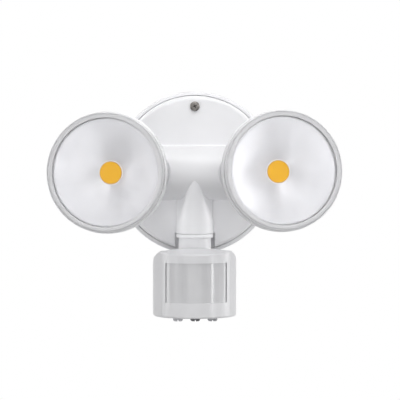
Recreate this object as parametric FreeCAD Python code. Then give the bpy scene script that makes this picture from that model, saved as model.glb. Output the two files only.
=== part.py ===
import FreeCAD, Part
import math
import os
from FreeCAD import Vector

# Twin-head motion sensor security light, in millimetres.
# Origin: centre of the wall plate's back face.  The wall is the plane y = 0, the light faces -Y, +Z is up.
# "Depth" is the distance in front of the wall, so a depth of 38 lies at y = -38.

# ---- cover and plate: the two overall sizes of the base
COVER_R = 65.0
COVER_DEPTH = 38.0
COVER_WALL = 2.5
COVER_DRAFT = 2.0
COVER_EDGE_ROUND = 3.0
PLATE_RIM = 3.5
PLATE_FLOOR = 3.0
PLATE_RIM_DEPTH = 8.0
PLATE_EDGE_ROUND = 1.2
RIM_GAP = 0.4
LAND_DEPTH = 5.0
LAND_WIDTH = 5.0

# ---- seals of the base
WALL_GASKET_INSET = 2.5
WALL_GASKET_WIDTH = 5.0
WALL_GASKET_THICK = 1.5
COVER_GASKET_THICK = 1.0
GASKET_INSET = 0.3

# ---- holes to the wall
WALL_HOLE_SPACING = 84.0
WALL_HOLE_R = 2.4
WALL_BOSS_R = 6.0
WALL_BOSS_HEIGHT = 2.0

# ---- cover screws and their posts
SCREW_INSET = 10.1
SCREW_COUNT = 3
SCREW_R = 1.95
SCREW_HEAD_R = 4.0
SCREW_HEAD_HEIGHT = 2.5
SCREW_CROSS_TURN = 27.0
SCREW_CLEARANCE = 0.1
COVER_POST_WALL = 2.65
PLATE_POST_WALL = 2.25
PLATE_POST_HEIGHT = 9.0

# ---- bridge that carries the two arms
BRIDGE_R = 22.0
BRIDGE_AXIS_STANDOFF = 6.0
BRIDGE_HALF_SPAN = 27.2
BRIDGE_WALL = 2.5
BRIDGE_ROOT_ROUND = 1.6
STUB_R = 18.0
STUB_WALL = 3.0
STUB_TURN = 37.0

# ---- neck, its floor and the pocket behind the stem
NECK_R = 15.0
NECK_AXIS_STANDOFF = 12.0
NECK_SHORTFALL = 15.5
NECK_FLOOR = 4.0
NECK_WALL = 2.0
NECK_NOSE_R = 2.0
NECK_CAVITY_SHORTFALL = 11.0
POCKET_GAP = 1.4
POCKET_DEPTH = 34.0
POCKET_WALL = 2.0

# ---- running clearances and gaps
SHAFT_CLEARANCE = 0.05
TURN_GAP = 0.8
THREAD_GAP = 0.05

# ---- arms
LEFT_ARM_REST_TURN = 2.0
RIGHT_ARM_REST_TURN = 6.8
ARM_SPIGOT_R = 10.0
ARM_WIRE_R = 4.5
ARM_FLANGE = 8.0
ARM_LENGTH = 42.6
ARM_TAPER_R = 12.5
ARM_TAPER_END = 24.0
ARM_EDGE_ROUND = 0.5
ARM_NUT_WIDTH = 4.0
ARM_NUT_THICK = 4.5
ARM_NUT_NOTCHES = 6
ARM_NUT_NOTCH_R = 1.6
ARM_NUT_STICKOUT = 3.0
ORING_WALL = 2.8
ORING_THICK = 1.6
EAR_R = 9.0
EAR_THICK = 6.0
LUG_STEP = 0.4
LUG_THICK = 13.4
LUG_GAP = 0.3
LUG_TIP_GAP = 0.8

# ---- hinge bolts
HINGE_BOLT_R = 3.0
HINGE_HEAD_LIP = 2.2
HINGE_HEAD_HEIGHT = 3.5
HINGE_SOCKET_R = 2.0
HINGE_SOCKET_DEPTH = 2.0
HINGE_NUT_LIP = 2.6
HINGE_NUT_HEIGHT = 4.0
HINGE_BOLT_TIP = 1.0

# ---- lamp heads; the places named "from rim" are measured back from the lens rim
HEAD_R = 47.3
HEAD_TURN = 11.0
HEAD_REACH = 45.5
HEAD_WALL = 3.1
SPIGOT_WALL = 1.9
HEAD_FRONT = 4.0
HEAD_SHOULDER = 6.4
HEAD_BAND_END = 12.0
HEAD_FLOOR_FRONT = 21.5
HEAD_FLOOR = 3.5
HEAD_BACK_INSET = 6.3
HEAD_BACK_RISE = 4.0
HEAD_EDGE_ROUND = 0.8
HUB_R = 13.5
FIN_COUNT = 18
FIN_THICK = 1.8
FIN_INSET = 4.3
FIN_OUTER_STEP = 1.5
FIN_INNER_STEP = 2.2

# ---- lens, gasket and reflector
LENS_STEP = 0.7
LENS_RIM_WIDTH = 4.4
LENS_FACE = 1.4
LENS_THICK = 1.5
LENS_SKIRT_GAP = 0.4
LENS_EDGE_ROUND = 1.1
LENS_RIM_ROUND = 0.55
LENS_FIT = 0.2
LENS_GASKET_THICK = 0.9
LENS_GASKET_WIDTH = 1.2
REFLECTOR_GROOVE = 2.2
REFLECTOR_LIP = 0.5
REFLECTOR_FOOT_DROP = 5.0
REFLECTOR_FOOT_THICK = 1.0
REFLECTOR_WALL = 1.0
REFLECTOR_MOUTH_GAP = 0.4

# ---- light-emitting board
COB_BOARD_R = 17.5
COB_BOARD_THICK = 1.4
COB_R = 9.3
COB_THICK = 0.5
COB_SCREW_INSET = 2.5
COB_SCREW_R = 1.2
COB_SCREW_HEAD_R = 1.9
COB_SCREW_HEAD_HEIGHT = 0.9
COB_SCREW_LENGTH = 3.8
COB_SCREW_FLOOR = 0.7
HEAD_GROMMET_R = 2.4
HEAD_GROMMET_BORE_R = 1.2
HEAD_GROMMET_GAP = 0.6
HEAD_GROMMET_PROUD = 2.0

# ---- sensor stem
STEM_STEP = 1.8
STEM_FLANGE_LIP = 0.1
STEM_FLANGE_HEIGHT = 3.2
STEM_FLANGE_ROUND = 0.6
STEM_SPIGOT_STEP = 3.2
STEM_SPIGOT_LENGTH = 12.0
STEM_WIRE_R = 6.0
STEM_NUT_GAP = 0.4
STEM_NUT_THICK = 4.0
STEM_FACE_GAP = 0.3

# ---- sensor case
SENSOR_REST_TURN = 3.0
CASE_R = 34.0
CASE_HEIGHT = 56.1
CASE_BACK_REACH = 22.0
CASE_CORNER_R = 8.0
CASE_DROP = 11.3
CASE_RIDGE_LIP = 1.0
CASE_RIDGE_ROUND = 8.0
CASE_CROWN_R = 220.0
CASE_FRONT_SLOPE = 13.5
CASE_BACK_SLOPE = 20.0
CASE_TOP_ROUND = 2.0
CASE_BOTTOM_ROUND = 1.6
CASE_WALL = 2.2
SLOT_GAP = 0.4
SLOT_SWING = 1.8
SLOT_WALL = 2.0
LINING_INSET = 0.3
WIRE_SLOT_HALF_WIDTH = 2.5
WIRE_FLOOR_RISE = 3.75
TILT_DROP = 15.2
TILT_BOLT_R = 2.5
TILT_HEAD_LIP = 1.9
TILT_HEAD_HEIGHT = 3.0
TILT_NUT_HEIGHT = 3.0

# ---- sensor front frame and its curved window
CHEEK_WIDTH = 6.1
FRAME_GAP = 0.06
FRAME_SIDE_WIDTH = 3.0
WINDOW_DROP = 11.6
WINDOW_HEIGHT = 32.0
WINDOW_INSET = 0.8
WINDOW_THICK = 0.8
WINDOW_LIP = 1.1

# ---- sensor electronics and knobs
PIR_BOARD_BACK_GAP = 1.2
PIR_BOARD_SIDE_GAP = 1.5
PIR_BOARD_HEIGHT = 32.2
BOARD_THICK = 1.6
PYRO_R = 4.6
PYRO_LENGTH = 4.4
PYRO_FLANGE_LIP = 0.4
PYRO_FLANGE_THICK = 0.6
PYRO_WINDOW = 3.0
PHOTOCELL_R = 2.4
PHOTOCELL_X = 16.0
PHOTOCELL_DROP = 8.0
PHOTOCELL_LENGTH = 2.4
CONTROL_BOARD_RISE = 13.4
CONTROL_BOARD_BACK_REACH = 12.0
LEDGE_THICK = 2.0
LEDGE_WIDTH = 2.5
KNOB_SPACING = 14.1
KNOB_REACH = 8.0
KNOB_R = 4.0
KNOB_PROUD = 3.9
KNOB_INSIDE = 6.1
KNOB_SHAFT_R = 1.5
KNOB_SHAFT_LENGTH = 3.0
KNOB_SLOT = 1.1
KNOB_SLOT_DEPTH = 1.2
KNOB_CHAMFER = 0.9
KNOB_GAP = 0.3
TRIMMER_SIZE = 9.6
TRIMMER_THICK = 5.4
CASE_SCREW_INSET = 6.5
CASE_SCREW_RISE = 8.4
CASE_SCREW_R = 1.3
CASE_SCREW_HEAD_R = 2.6
CASE_SCREW_HEAD_HEIGHT = 1.4
CASE_SCREW_LENGTH = 16.0
CASE_POST_LIP = 0.8

# ---- supply and driver parts on the wall plate
GROMMET_NECK_R = 7.5
GROMMET_BORE_R = 4.0
GROMMET_LIP = 2.0
GROMMET_LIP_THICK = 1.5
GROMMET_CONE = 2.0
TERMINAL_WIDTH = 34.0
TERMINAL_HEIGHT = 15.0
TERMINAL_DEPTH = 15.0
TERMINAL_STEP = 4.0
TERMINAL_Z = -30.0
TERMINAL_POLES = 3
TERMINAL_SCREW_R = 1.9
TERMINAL_SCREW_LENGTH = 7.0
TERMINAL_WIRE_R = 1.8
TERMINAL_WIRE_DEPTH = 4.5
DRIVER_HALF_WIDTH = 38.0
DRIVER_BOTTOM_Z = 13.0
DRIVER_HEIGHT = 32.0
DRIVER_POST_HEIGHT = 5.0
DRIVER_POST_R = 2.6
DRIVER_SCREW_R = 1.2
DRIVER_SCREW_HEAD_R = 2.5
DRIVER_SCREW_HEAD_HEIGHT = 1.6
DRIVER_SCREW_LENGTH = 5.5
DRIVER_POST_INSET = 4.0
CORE_WIDTH = 18.0
CORE_HEIGHT = 20.0
CORE_DEPTH = 15.0
CORE_LEG = 3.5
BOBBIN_GAP = 0.2
CAPACITORS = ((-22.0, 6.0, 17.0), (20.0, 5.0, 14.0))
CAPACITOR_Z = 24.0
CAPACITOR_ROUND = 0.8
RELAY_X = 21.0
RELAY_Z = 36.0
RELAY_WIDTH = 16.0
RELAY_HEIGHT = 9.0
RELAY_DEPTH = 12.0

# ---- cross slot and crown of a screw head, as shares of the head
RECESS_SPREAD = 1.15
RECESS_SLIMNESS = 4.5
RECESS_DEPTH_SHARE = 0.6
CROWN_ROUND_SHARE = 0.6

# ---- a cut runs this far past the surface that it opens; an edge is picked within this tolerance
PAST = 1.0
NEAR = 0.01

# ---- values that follow from the ones above
FORWARD = Vector(0, -1, 0)
UP = Vector(0, 0, 1)
RIGHT = Vector(1, 0, 0)
PLATE_R = COVER_R + PLATE_RIM
WALL_GASKET_R = PLATE_R - WALL_GASKET_INSET
COVER_INNER_R = COVER_R - COVER_WALL
COVER_BACK = LAND_DEPTH + COVER_GASKET_THICK
SCREW_CIRCLE_R = COVER_R - SCREW_INSET
SHANK_TIP = PLATE_FLOOR + PAST
TURN = math.radians(STUB_TURN)
BRIDGE_AXIS_DEPTH = COVER_DEPTH + BRIDGE_AXIS_STANDOFF
STUB_REACH = math.sqrt(BRIDGE_R ** 2 - STUB_R ** 2)
SEAM_X = BRIDGE_HALF_SPAN + STUB_REACH * math.sin(TURN)
SEAM_DEPTH = BRIDGE_AXIS_DEPTH + STUB_REACH * math.cos(TURN)
ARM_SPIGOT_LENGTH = STUB_WALL + ARM_NUT_THICK + ARM_NUT_STICKOUT
ORING_R = ARM_SPIGOT_R + ORING_WALL + ORING_THICK / 2
LUG_R = EAR_R - LUG_STEP
FORK_GAP = LUG_THICK / 2 + LUG_GAP
FORK_HALF = FORK_GAP + EAR_THICK
HEAD_SPIGOT_R = HEAD_R - HEAD_WALL
HEAD_BORE_R = HEAD_SPIGOT_R - SPIGOT_WALL
HEAD_FLOOR_BACK = HEAD_FLOOR_FRONT + HEAD_FLOOR
HEAD_BACK_R = HEAD_R - HEAD_BACK_INSET
HUB_END = HEAD_REACH - EAR_R - LUG_TIP_GAP
LENS_R = HEAD_R - LENS_STEP
LENS_BACK = LENS_FACE + LENS_THICK
COB_FRONT = HEAD_FLOOR_FRONT - COB_BOARD_THICK
NECK_AXIS_DEPTH = COVER_DEPTH + NECK_AXIS_STANDOFF
NECK_BOTTOM_Z = NECK_SHORTFALL - COVER_R
NECK_FLOOR_TOP_Z = NECK_BOTTOM_Z + NECK_FLOOR
NECK_TAPER_Z = NECK_FLOOR_TOP_Z + STEM_NUT_THICK + STEM_NUT_GAP
STEM_R = NECK_R - STEM_STEP
STEM_FLANGE_R = NECK_R + STEM_FLANGE_LIP
STEM_SPIGOT_R = STEM_R - STEM_SPIGOT_STEP
STEM_NUT_R = NECK_R - NECK_WALL - STEM_NUT_GAP
POCKET_HALF_WIDTH = STEM_FLANGE_R + POCKET_GAP
POCKET_BACK_DEPTH = NECK_AXIS_DEPTH - POCKET_DEPTH
CASE_RIDGE_Z = NECK_BOTTOM_Z - CASE_DROP
CASE_BOTTOM_Z = CASE_RIDGE_Z - CASE_HEIGHT
SLOT_REACH = STEM_R + SLOT_SWING
CASE_RIDGE_DEPTH = NECK_AXIS_DEPTH + SLOT_REACH + CASE_RIDGE_LIP
CASE_BACK_DEPTH = NECK_AXIS_DEPTH - CASE_BACK_REACH
TILT_Z = CASE_RIDGE_Z - TILT_DROP
SLOT_HALF = STEM_R + SLOT_GAP
FRAME_HALF_WIDTH = CASE_R - CHEEK_WIDTH
WINDOW_HALF_WIDTH = FRAME_HALF_WIDTH - FRAME_SIDE_WIDTH
WINDOW_TOP_Z = CASE_RIDGE_Z - WINDOW_DROP
WINDOW_BOTTOM_Z = WINDOW_TOP_Z - WINDOW_HEIGHT
PIR_BOARD_REACH = SLOT_REACH + SLOT_WALL + PIR_BOARD_BACK_GAP
PIR_BOARD_DEPTH = NECK_AXIS_DEPTH + PIR_BOARD_REACH
PIR_BOARD_FRONT = PIR_BOARD_DEPTH + BOARD_THICK
PIR_BOARD_HALF_WIDTH = math.sqrt(
    (CASE_R - CASE_WALL - PIR_BOARD_SIDE_GAP) ** 2 - (PIR_BOARD_REACH + BOARD_THICK) ** 2)
PYRO_Z = (WINDOW_TOP_Z + WINDOW_BOTTOM_Z) / 2
CONTROL_BOARD_Z = CASE_BOTTOM_Z + CONTROL_BOARD_RISE
CONTROL_BOARD_BACK_DEPTH = NECK_AXIS_DEPTH - CONTROL_BOARD_BACK_REACH
KNOB_DEPTH = NECK_AXIS_DEPTH + KNOB_REACH
CASE_SCREW_X = CASE_R - CASE_SCREW_INSET
CASE_SCREW_Z = CASE_BOTTOM_Z + CASE_SCREW_RISE


# ======== small shape helpers

def at(x, depth, z):
    return Vector(x, -depth, z)


def rod(radius, start, end):
    way = end - start
    return Part.makeCylinder(radius, way.Length, start, way)


def tube(outer, inner, start, end):
    return rod(outer, start, end).cut(rod(inner, start, end))


def block(x_low, x_high, depth_low, depth_high, z_low, z_high):
    size = (x_high - x_low, depth_high - depth_low, z_high - z_low)
    return Part.makeBox(*size, at(x_low, depth_high, z_low))


def turned(outline):
    """Solid of revolution about the depth direction, from (radius, depth) corners."""
    corners = [at(radius, depth, 0) for radius, depth in outline]
    face = Part.Face(Part.makePolygon(corners + corners[:1]))
    return face.revolve(Vector(), Vector(0, 1, 0), 360)


def prism(corners, way):
    return Part.Face(Part.makePolygon(corners + corners[:1])).extrude(way)


def hexagon(across_corners_r, start, end):
    way = end - start
    side = UP if abs(way.x) > abs(way.z) else RIGHT
    turn = FreeCAD.Rotation(way, 60)
    reach = side * across_corners_r
    corners = []
    for _ in range(6):
        corners.append(start + reach)
        reach = turn.multVec(reach)
    return prism(corners, way)


def join(first, *others):
    return first.fuse(list(others)).removeSplitter()


def round_edges(shape, radius, wanted):
    return shape.makeFillet(radius, [edge for edge in shape.Edges if wanted(edge)])


def is_circle(edge, radius, centre, axis=FORWARD):
    """True for a round edge of this radius that lies in the plane through centre across axis."""
    curve = edge.Curve
    if not isinstance(curve, Part.Circle):
        return False
    off = curve.Center - centre
    return abs(curve.Radius - radius) < NEAR and abs(off.dot(axis)) < NEAR


def around(count, radius, first_angle=90.0):
    """Centres spread evenly on a circle in the wall's plane, as (x, z) pairs."""
    places = []
    for step in range(count):
        angle = math.radians(first_angle + 360.0 / count * step)
        places.append((radius * math.cos(angle), radius * math.sin(angle)))
    return places


def mirrored(shape):
    return shape.mirror(Vector(), RIGHT)


def cross_recess(centre, way, size, depth, turn):
    """Tool for a cross slot cut into a screw head, its mouth at centre."""
    width = size / RECESS_SLIMNESS
    arms = []
    for quarter in (0, 90):
        bar = Part.makeBox(size, width, depth, Vector(-size / 2, -width / 2, -depth))
        bar.rotate(Vector(), UP, turn + quarter)
        arms.append(bar)
    tool = arms[0].fuse(arms[1])
    tool.Placement = FreeCAD.Placement(centre, FreeCAD.Rotation(UP, way)).multiply(tool.Placement)
    return tool


def pan_head_screw(radius, head_r, head_height, seat, way, length, turn=0.0):
    """Screw with its head's underside at seat; way points out of the head."""
    crown = seat + way * head_height
    head = rod(head_r, seat, crown)
    head = round_edges(head, head_height * CROWN_ROUND_SHARE, lambda edge: is_circle(edge, head_r, crown, way))
    shank = rod(radius, seat, seat - way * length)
    recess = cross_recess(crown, way, head_r * RECESS_SPREAD, head_height * RECESS_DEPTH_SHARE, turn)
    return join(head, shank).cut(recess)


# ======== wall plate, seals and supply parts

def wall_hole_places():
    return (-WALL_HOLE_SPACING / 2, WALL_HOLE_SPACING / 2)


def driver_corners():
    x = DRIVER_HALF_WIDTH - DRIVER_POST_INSET
    low = DRIVER_BOTTOM_Z + DRIVER_POST_INSET
    high = DRIVER_BOTTOM_Z + DRIVER_HEIGHT - DRIVER_POST_INSET
    return [(-x, low), (x, low), (-x, high), (x, high)]


def plate_post(x, z, radius, height):
    return rod(radius, at(x, PLATE_FLOOR / 2, z), at(x, PLATE_FLOOR + height, z))


def plate_hole(x, z, radius, floor):
    """Hole into the plate from the front, down to the depth floor."""
    return rod(radius, at(x, floor, z), at(x, COVER_DEPTH, z))


def wall_plate():
    rim_r = COVER_R + RIM_GAP
    land_r = COVER_R - LAND_WIDTH
    body = turned([
        (0, 0), (PLATE_R, 0), (PLATE_R, PLATE_RIM_DEPTH), (rim_r, PLATE_RIM_DEPTH),
        (rim_r, LAND_DEPTH), (land_r, LAND_DEPTH), (land_r, PLATE_FLOOR), (0, PLATE_FLOOR)])
    front = at(0, PLATE_RIM_DEPTH, 0)
    body = round_edges(body, PLATE_EDGE_ROUND, lambda edge: is_circle(edge, PLATE_R, front))
    screw_places = around(SCREW_COUNT, SCREW_CIRCLE_R)
    posts = [plate_post(x, z, SCREW_R + PLATE_POST_WALL, PLATE_POST_HEIGHT) for x, z in screw_places]
    posts += [plate_post(x, 0, WALL_BOSS_R, WALL_BOSS_HEIGHT) for x in wall_hole_places()]
    posts += [plate_post(x, z, DRIVER_POST_R, DRIVER_POST_HEIGHT) for x, z in driver_corners()]
    body = join(body, *posts)
    for x, z in screw_places:
        body = body.cut(plate_hole(x, z, SCREW_R + THREAD_GAP, PLATE_FLOOR))
    for x in wall_hole_places():
        body = body.cut(plate_hole(x, 0, WALL_HOLE_R, -PAST))
    for x, z in driver_corners():
        body = body.cut(plate_hole(x, z, DRIVER_SCREW_R + THREAD_GAP, PLATE_FLOOR - PAST))
    body = body.cut(plate_hole(0, 0, GROMMET_NECK_R, -PAST))
    inner = WALL_GASKET_R - WALL_GASKET_WIDTH
    return body.cut(tube(WALL_GASKET_R, inner, at(0, -PAST, 0), at(0, WALL_GASKET_THICK, 0)))


def wall_gasket():
    inner = WALL_GASKET_R - WALL_GASKET_WIDTH
    return tube(WALL_GASKET_R, inner, at(0, 0, 0), at(0, WALL_GASKET_THICK, 0))


def cover_gasket():
    outer = COVER_R - GASKET_INSET
    inner = COVER_INNER_R + GASKET_INSET
    return tube(outer, inner, at(0, LAND_DEPTH, 0), at(0, COVER_BACK, 0))


def cable_grommet():
    """Rubber bush snapped into the plate's centre hole, bored for a round supply cable."""
    lip_r = GROMMET_NECK_R + GROMMET_LIP
    lip_end = PLATE_FLOOR + GROMMET_LIP_THICK
    tip = lip_end + GROMMET_CONE
    return turned([
        (GROMMET_BORE_R, 0), (GROMMET_NECK_R, 0), (GROMMET_NECK_R, PLATE_FLOOR), (lip_r, PLATE_FLOOR),
        (lip_r, lip_end), (GROMMET_NECK_R, tip), (GROMMET_BORE_R, tip)])


def terminal_places():
    pitch = TERMINAL_WIDTH / TERMINAL_POLES
    return [pitch * (pole - (TERMINAL_POLES - 1) / 2) for pole in range(TERMINAL_POLES)]


def terminal_block():
    low = TERMINAL_Z - TERMINAL_HEIGHT / 2
    high = TERMINAL_Z + TERMINAL_HEIGHT / 2
    half = TERMINAL_WIDTH / 2
    top = PLATE_FLOOR + TERMINAL_DEPTH
    step = TERMINAL_STEP
    body = join(
        block(-half, half, PLATE_FLOOR, top - step, low, high),
        block(-half, half, top - step - PAST, top, low + step, high - step))
    screw_tip = top - PAST - TERMINAL_SCREW_LENGTH
    wire_depth = PLATE_FLOOR + TERMINAL_WIRE_DEPTH
    for x in terminal_places():
        body = body.cut(rod(
            TERMINAL_SCREW_R + THREAD_GAP, at(x, screw_tip, TERMINAL_Z), at(x, top + PAST, TERMINAL_Z)))
        body = body.cut(rod(
            TERMINAL_WIRE_R, at(x, wire_depth, low - PAST), at(x, wire_depth, high + PAST)))
    return body


def terminal_screws():
    """Grub screws, each with a straight slot, sunk a little below the block's top."""
    top = PLATE_FLOOR + TERMINAL_DEPTH - PAST
    slot = TERMINAL_SCREW_R / 5
    screws = []
    for x in terminal_places():
        screw = rod(TERMINAL_SCREW_R, at(x, top - TERMINAL_SCREW_LENGTH, TERMINAL_Z), at(x, top, TERMINAL_Z))
        screws.append(screw.cut(block(
            x - COVER_R, x + COVER_R, top - PAST, top + PAST, TERMINAL_Z - slot, TERMINAL_Z + slot)))
    return screws


def driver_board_front():
    return PLATE_FLOOR + DRIVER_POST_HEIGHT + BOARD_THICK


def driver_board():
    back = PLATE_FLOOR + DRIVER_POST_HEIGHT
    half = DRIVER_HALF_WIDTH
    top_z = DRIVER_BOTTOM_Z + DRIVER_HEIGHT
    body = block(-half, half, back, back + BOARD_THICK, DRIVER_BOTTOM_Z, top_z)
    for x, z in driver_corners():
        body = body.cut(plate_hole(x, z, DRIVER_SCREW_R + SCREW_CLEARANCE, back - PAST))
    return body


def driver_screws():
    screws = []
    for x, z in driver_corners():
        seat = at(x, driver_board_front(), z)
        screws.append(pan_head_screw(
            DRIVER_SCREW_R, DRIVER_SCREW_HEAD_R, DRIVER_SCREW_HEAD_HEIGHT, seat, FORWARD, DRIVER_SCREW_LENGTH))
    return screws


def driver_transformer():
    """Ferrite core around a wound bobbin, soldered to the middle of the board."""
    front = driver_board_front()
    middle = DRIVER_BOTTOM_Z + DRIVER_HEIGHT / 2
    low = middle - CORE_HEIGHT / 2
    high = middle + CORE_HEIGHT / 2
    half = CORE_WIDTH / 2
    leg = half - CORE_LEG
    core = block(-half, half, front, front + CORE_DEPTH, low, high)
    core = core.cut(block(-leg, leg, front + CORE_LEG / 2, front + CORE_DEPTH + PAST, low - PAST, high + PAST))
    gap = BOBBIN_GAP
    bobbin = block(
        gap - leg, leg - gap, front + CORE_LEG / 2 + gap, front + CORE_DEPTH - CORE_LEG / 2,
        low + CORE_LEG / 2, high - CORE_LEG / 2)
    return [core, bobbin]


def driver_capacitors():
    front = driver_board_front()
    cans = []
    for x, radius, height in CAPACITORS:
        crown = at(x, front + height, CAPACITOR_Z)
        can = rod(radius, at(x, front, CAPACITOR_Z), crown)
        cans.append(round_edges(can, CAPACITOR_ROUND, lambda edge: is_circle(edge, radius, crown)))
    return cans


def driver_relay():
    """Relay that the motion sensor's circuit switches."""
    front = driver_board_front()
    half_width = RELAY_WIDTH / 2
    half_height = RELAY_HEIGHT / 2
    body = block(
        RELAY_X - half_width, RELAY_X + half_width, front, front + RELAY_DEPTH,
        RELAY_Z - half_height, RELAY_Z + half_height)
    face = -front - RELAY_DEPTH
    return round_edges(body, CAPACITOR_ROUND, lambda edge: edge.BoundBox.YMax < face + NEAR)


# ======== front cover with bridge, stubs and neck

def stub_axis():
    return Vector(math.sin(TURN), -math.cos(TURN), 0)


def cover_drum(inset, start):
    """Drum of the cover, or its cavity when inset is the wall."""
    face = COVER_DEPTH - inset
    face_r = COVER_R - COVER_DRAFT - inset
    drum = turned([(0, start), (COVER_R - inset, start), (face_r, face), (0, face)])
    edge_round = COVER_EDGE_ROUND - inset / 2
    return round_edges(drum, edge_round, lambda edge: is_circle(edge, face_r, at(0, face, 0)))


def bridge_body(inset, back_depth):
    """Half-round bar with ball ends, standing on the cover's face."""
    radius = BRIDGE_R - inset
    span = BRIDGE_HALF_SPAN
    pieces = [block(-span, span, back_depth, BRIDGE_AXIS_DEPTH, -radius, radius)]
    for x in (-span, span):
        pieces.append(Part.makeSphere(radius, at(x, BRIDGE_AXIS_DEPTH, 0)))
        pieces.append(rod(radius, at(x, back_depth, 0), at(x, BRIDGE_AXIS_DEPTH, 0)))
    bar = rod(radius, at(-span, BRIDGE_AXIS_DEPTH, 0), at(span, BRIDGE_AXIS_DEPTH, 0))
    body = join(bar, *pieces)
    axis = stub_axis()
    ball = at(span, BRIDGE_AXIS_DEPTH, 0)
    reach = STUB_REACH if inset == 0 else STUB_REACH - STUB_WALL
    slice_off = rod(BRIDGE_R * 2, ball + axis * reach, ball + axis * BRIDGE_R * 2)
    return body.cut(slice_off).cut(mirrored(slice_off))


def neck_nose_r(z):
    """Radius of the neck's nose: full round up to the stem's nut, then narrowing to the bridge's axis."""
    share = max(0, (z - NECK_TAPER_Z) / -NECK_TAPER_Z)
    return NECK_R + (NECK_NOSE_R - NECK_R) * share


def neck_outline(inset, back_depth, z):
    """Plan of the neck at height z: a round nose whose flanks run straight back to the cover."""
    nose_r = neck_nose_r(z)
    middle = NECK_AXIS_DEPTH + NECK_R - nose_r
    radius = nose_r - inset
    side = NECK_R - inset
    back = middle - COVER_DEPTH
    reach = side ** 2 + back ** 2
    lean = radius * math.sqrt(reach - radius ** 2) / reach
    share = radius ** 2 / reach
    x = side * share + back * lean
    depth = middle - back * share + side * lean
    root = side + (side - x) * (COVER_DEPTH - back_depth) / (depth - COVER_DEPTH)
    edges = [
        Part.LineSegment(at(-root, back_depth, z), at(-x, depth, z)),
        Part.Arc(at(-x, depth, z), at(0, middle + radius, z), at(x, depth, z)),
        Part.LineSegment(at(x, depth, z), at(root, back_depth, z)),
        Part.LineSegment(at(root, back_depth, z), at(-root, back_depth, z))]
    return Part.Wire([edge.toShape() for edge in edges])


def neck_body(inset, back_depth, bottom, top):
    skirt = Part.Face(neck_outline(inset, back_depth, bottom)).extrude(UP * (NECK_TAPER_Z - bottom))
    ends = [neck_outline(inset, back_depth, z) for z in (NECK_TAPER_Z, top)]
    return join(skirt, Part.makeLoft(ends, True, True))


def stem_pocket(grow):
    """Notch in the cover's lower edge for the stem, or its lining when grown by a wall."""
    half = POCKET_HALF_WIDTH + grow
    front = NECK_AXIS_DEPTH * 2 if grow == 0 else COVER_DEPTH
    return block(-half, half, POCKET_BACK_DEPTH - grow, front, -COVER_R * 2, NECK_BOTTOM_Z + grow)


def drum_with_bridge():
    """Drum and bridge as one, with a rounded root where the bridge stands on the drum's face."""
    body = join(cover_drum(0, COVER_BACK), bridge_body(0, COVER_DEPTH - COVER_WALL))
    half_width = BRIDGE_HALF_SPAN + BRIDGE_R + NEAR

    def at_root(edge):
        box = edge.BoundBox
        flat = abs(box.YMin + COVER_DEPTH) < NEAR and abs(box.YMax + COVER_DEPTH) < NEAR
        return flat and -half_width < box.XMin and box.XMax < half_width

    return round_edges(body, BRIDGE_ROOT_ROUND, at_root)


def front_cover():
    inside_face = COVER_DEPTH - COVER_WALL
    outer = join(drum_with_bridge(), neck_body(0, inside_face, NECK_BOTTOM_Z, 0))
    cavity = join(
        cover_drum(COVER_WALL, COVER_BACK - PAST), bridge_body(BRIDGE_WALL, inside_face - PAST),
        neck_body(NECK_WALL, inside_face - PAST, NECK_FLOOR_TOP_Z, -NECK_CAVITY_SHORTFALL))
    post_start = PLATE_FLOOR + PLATE_POST_HEIGHT + TURN_GAP
    posts = []
    for x, z in around(SCREW_COUNT, SCREW_CIRCLE_R):
        posts.append(rod(SCREW_R + COVER_POST_WALL, at(x, post_start, z), at(x, inside_face + PAST, z)))
    cover = join(outer.cut(cavity), outer.common(stem_pocket(POCKET_WALL)), *posts)
    cover = cover.cut(stem_pocket(0))
    for x, z in around(SCREW_COUNT, SCREW_CIRCLE_R):
        cover = cover.cut(rod(SCREW_R + SCREW_CLEARANCE, at(x, 0, z), at(x, COVER_DEPTH + PAST, z)))
    seam = at(SEAM_X, SEAM_DEPTH, 0)
    bore = rod(ARM_SPIGOT_R + SHAFT_CLEARANCE, seam - stub_axis() * BRIDGE_R / 2, seam + stub_axis())
    stem_hole = rod(
        STEM_SPIGOT_R + SHAFT_CLEARANCE, stem_axis(NECK_BOTTOM_Z - PAST), stem_axis(NECK_FLOOR_TOP_Z + PAST))
    return cover.cut(bore).cut(mirrored(bore)).cut(stem_hole)


def cover_screws():
    screws = []
    for x, z in around(SCREW_COUNT, SCREW_CIRCLE_R):
        screws.append(pan_head_screw(
            SCREW_R, SCREW_HEAD_R, SCREW_HEAD_HEIGHT, at(x, COVER_DEPTH, z), FORWARD,
            COVER_DEPTH - SHANK_TIP, SCREW_CROSS_TURN))
    return screws


# ======== arms.  Modelled pointing straight forward from the seam, then turned onto the right-hand stub.

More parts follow.
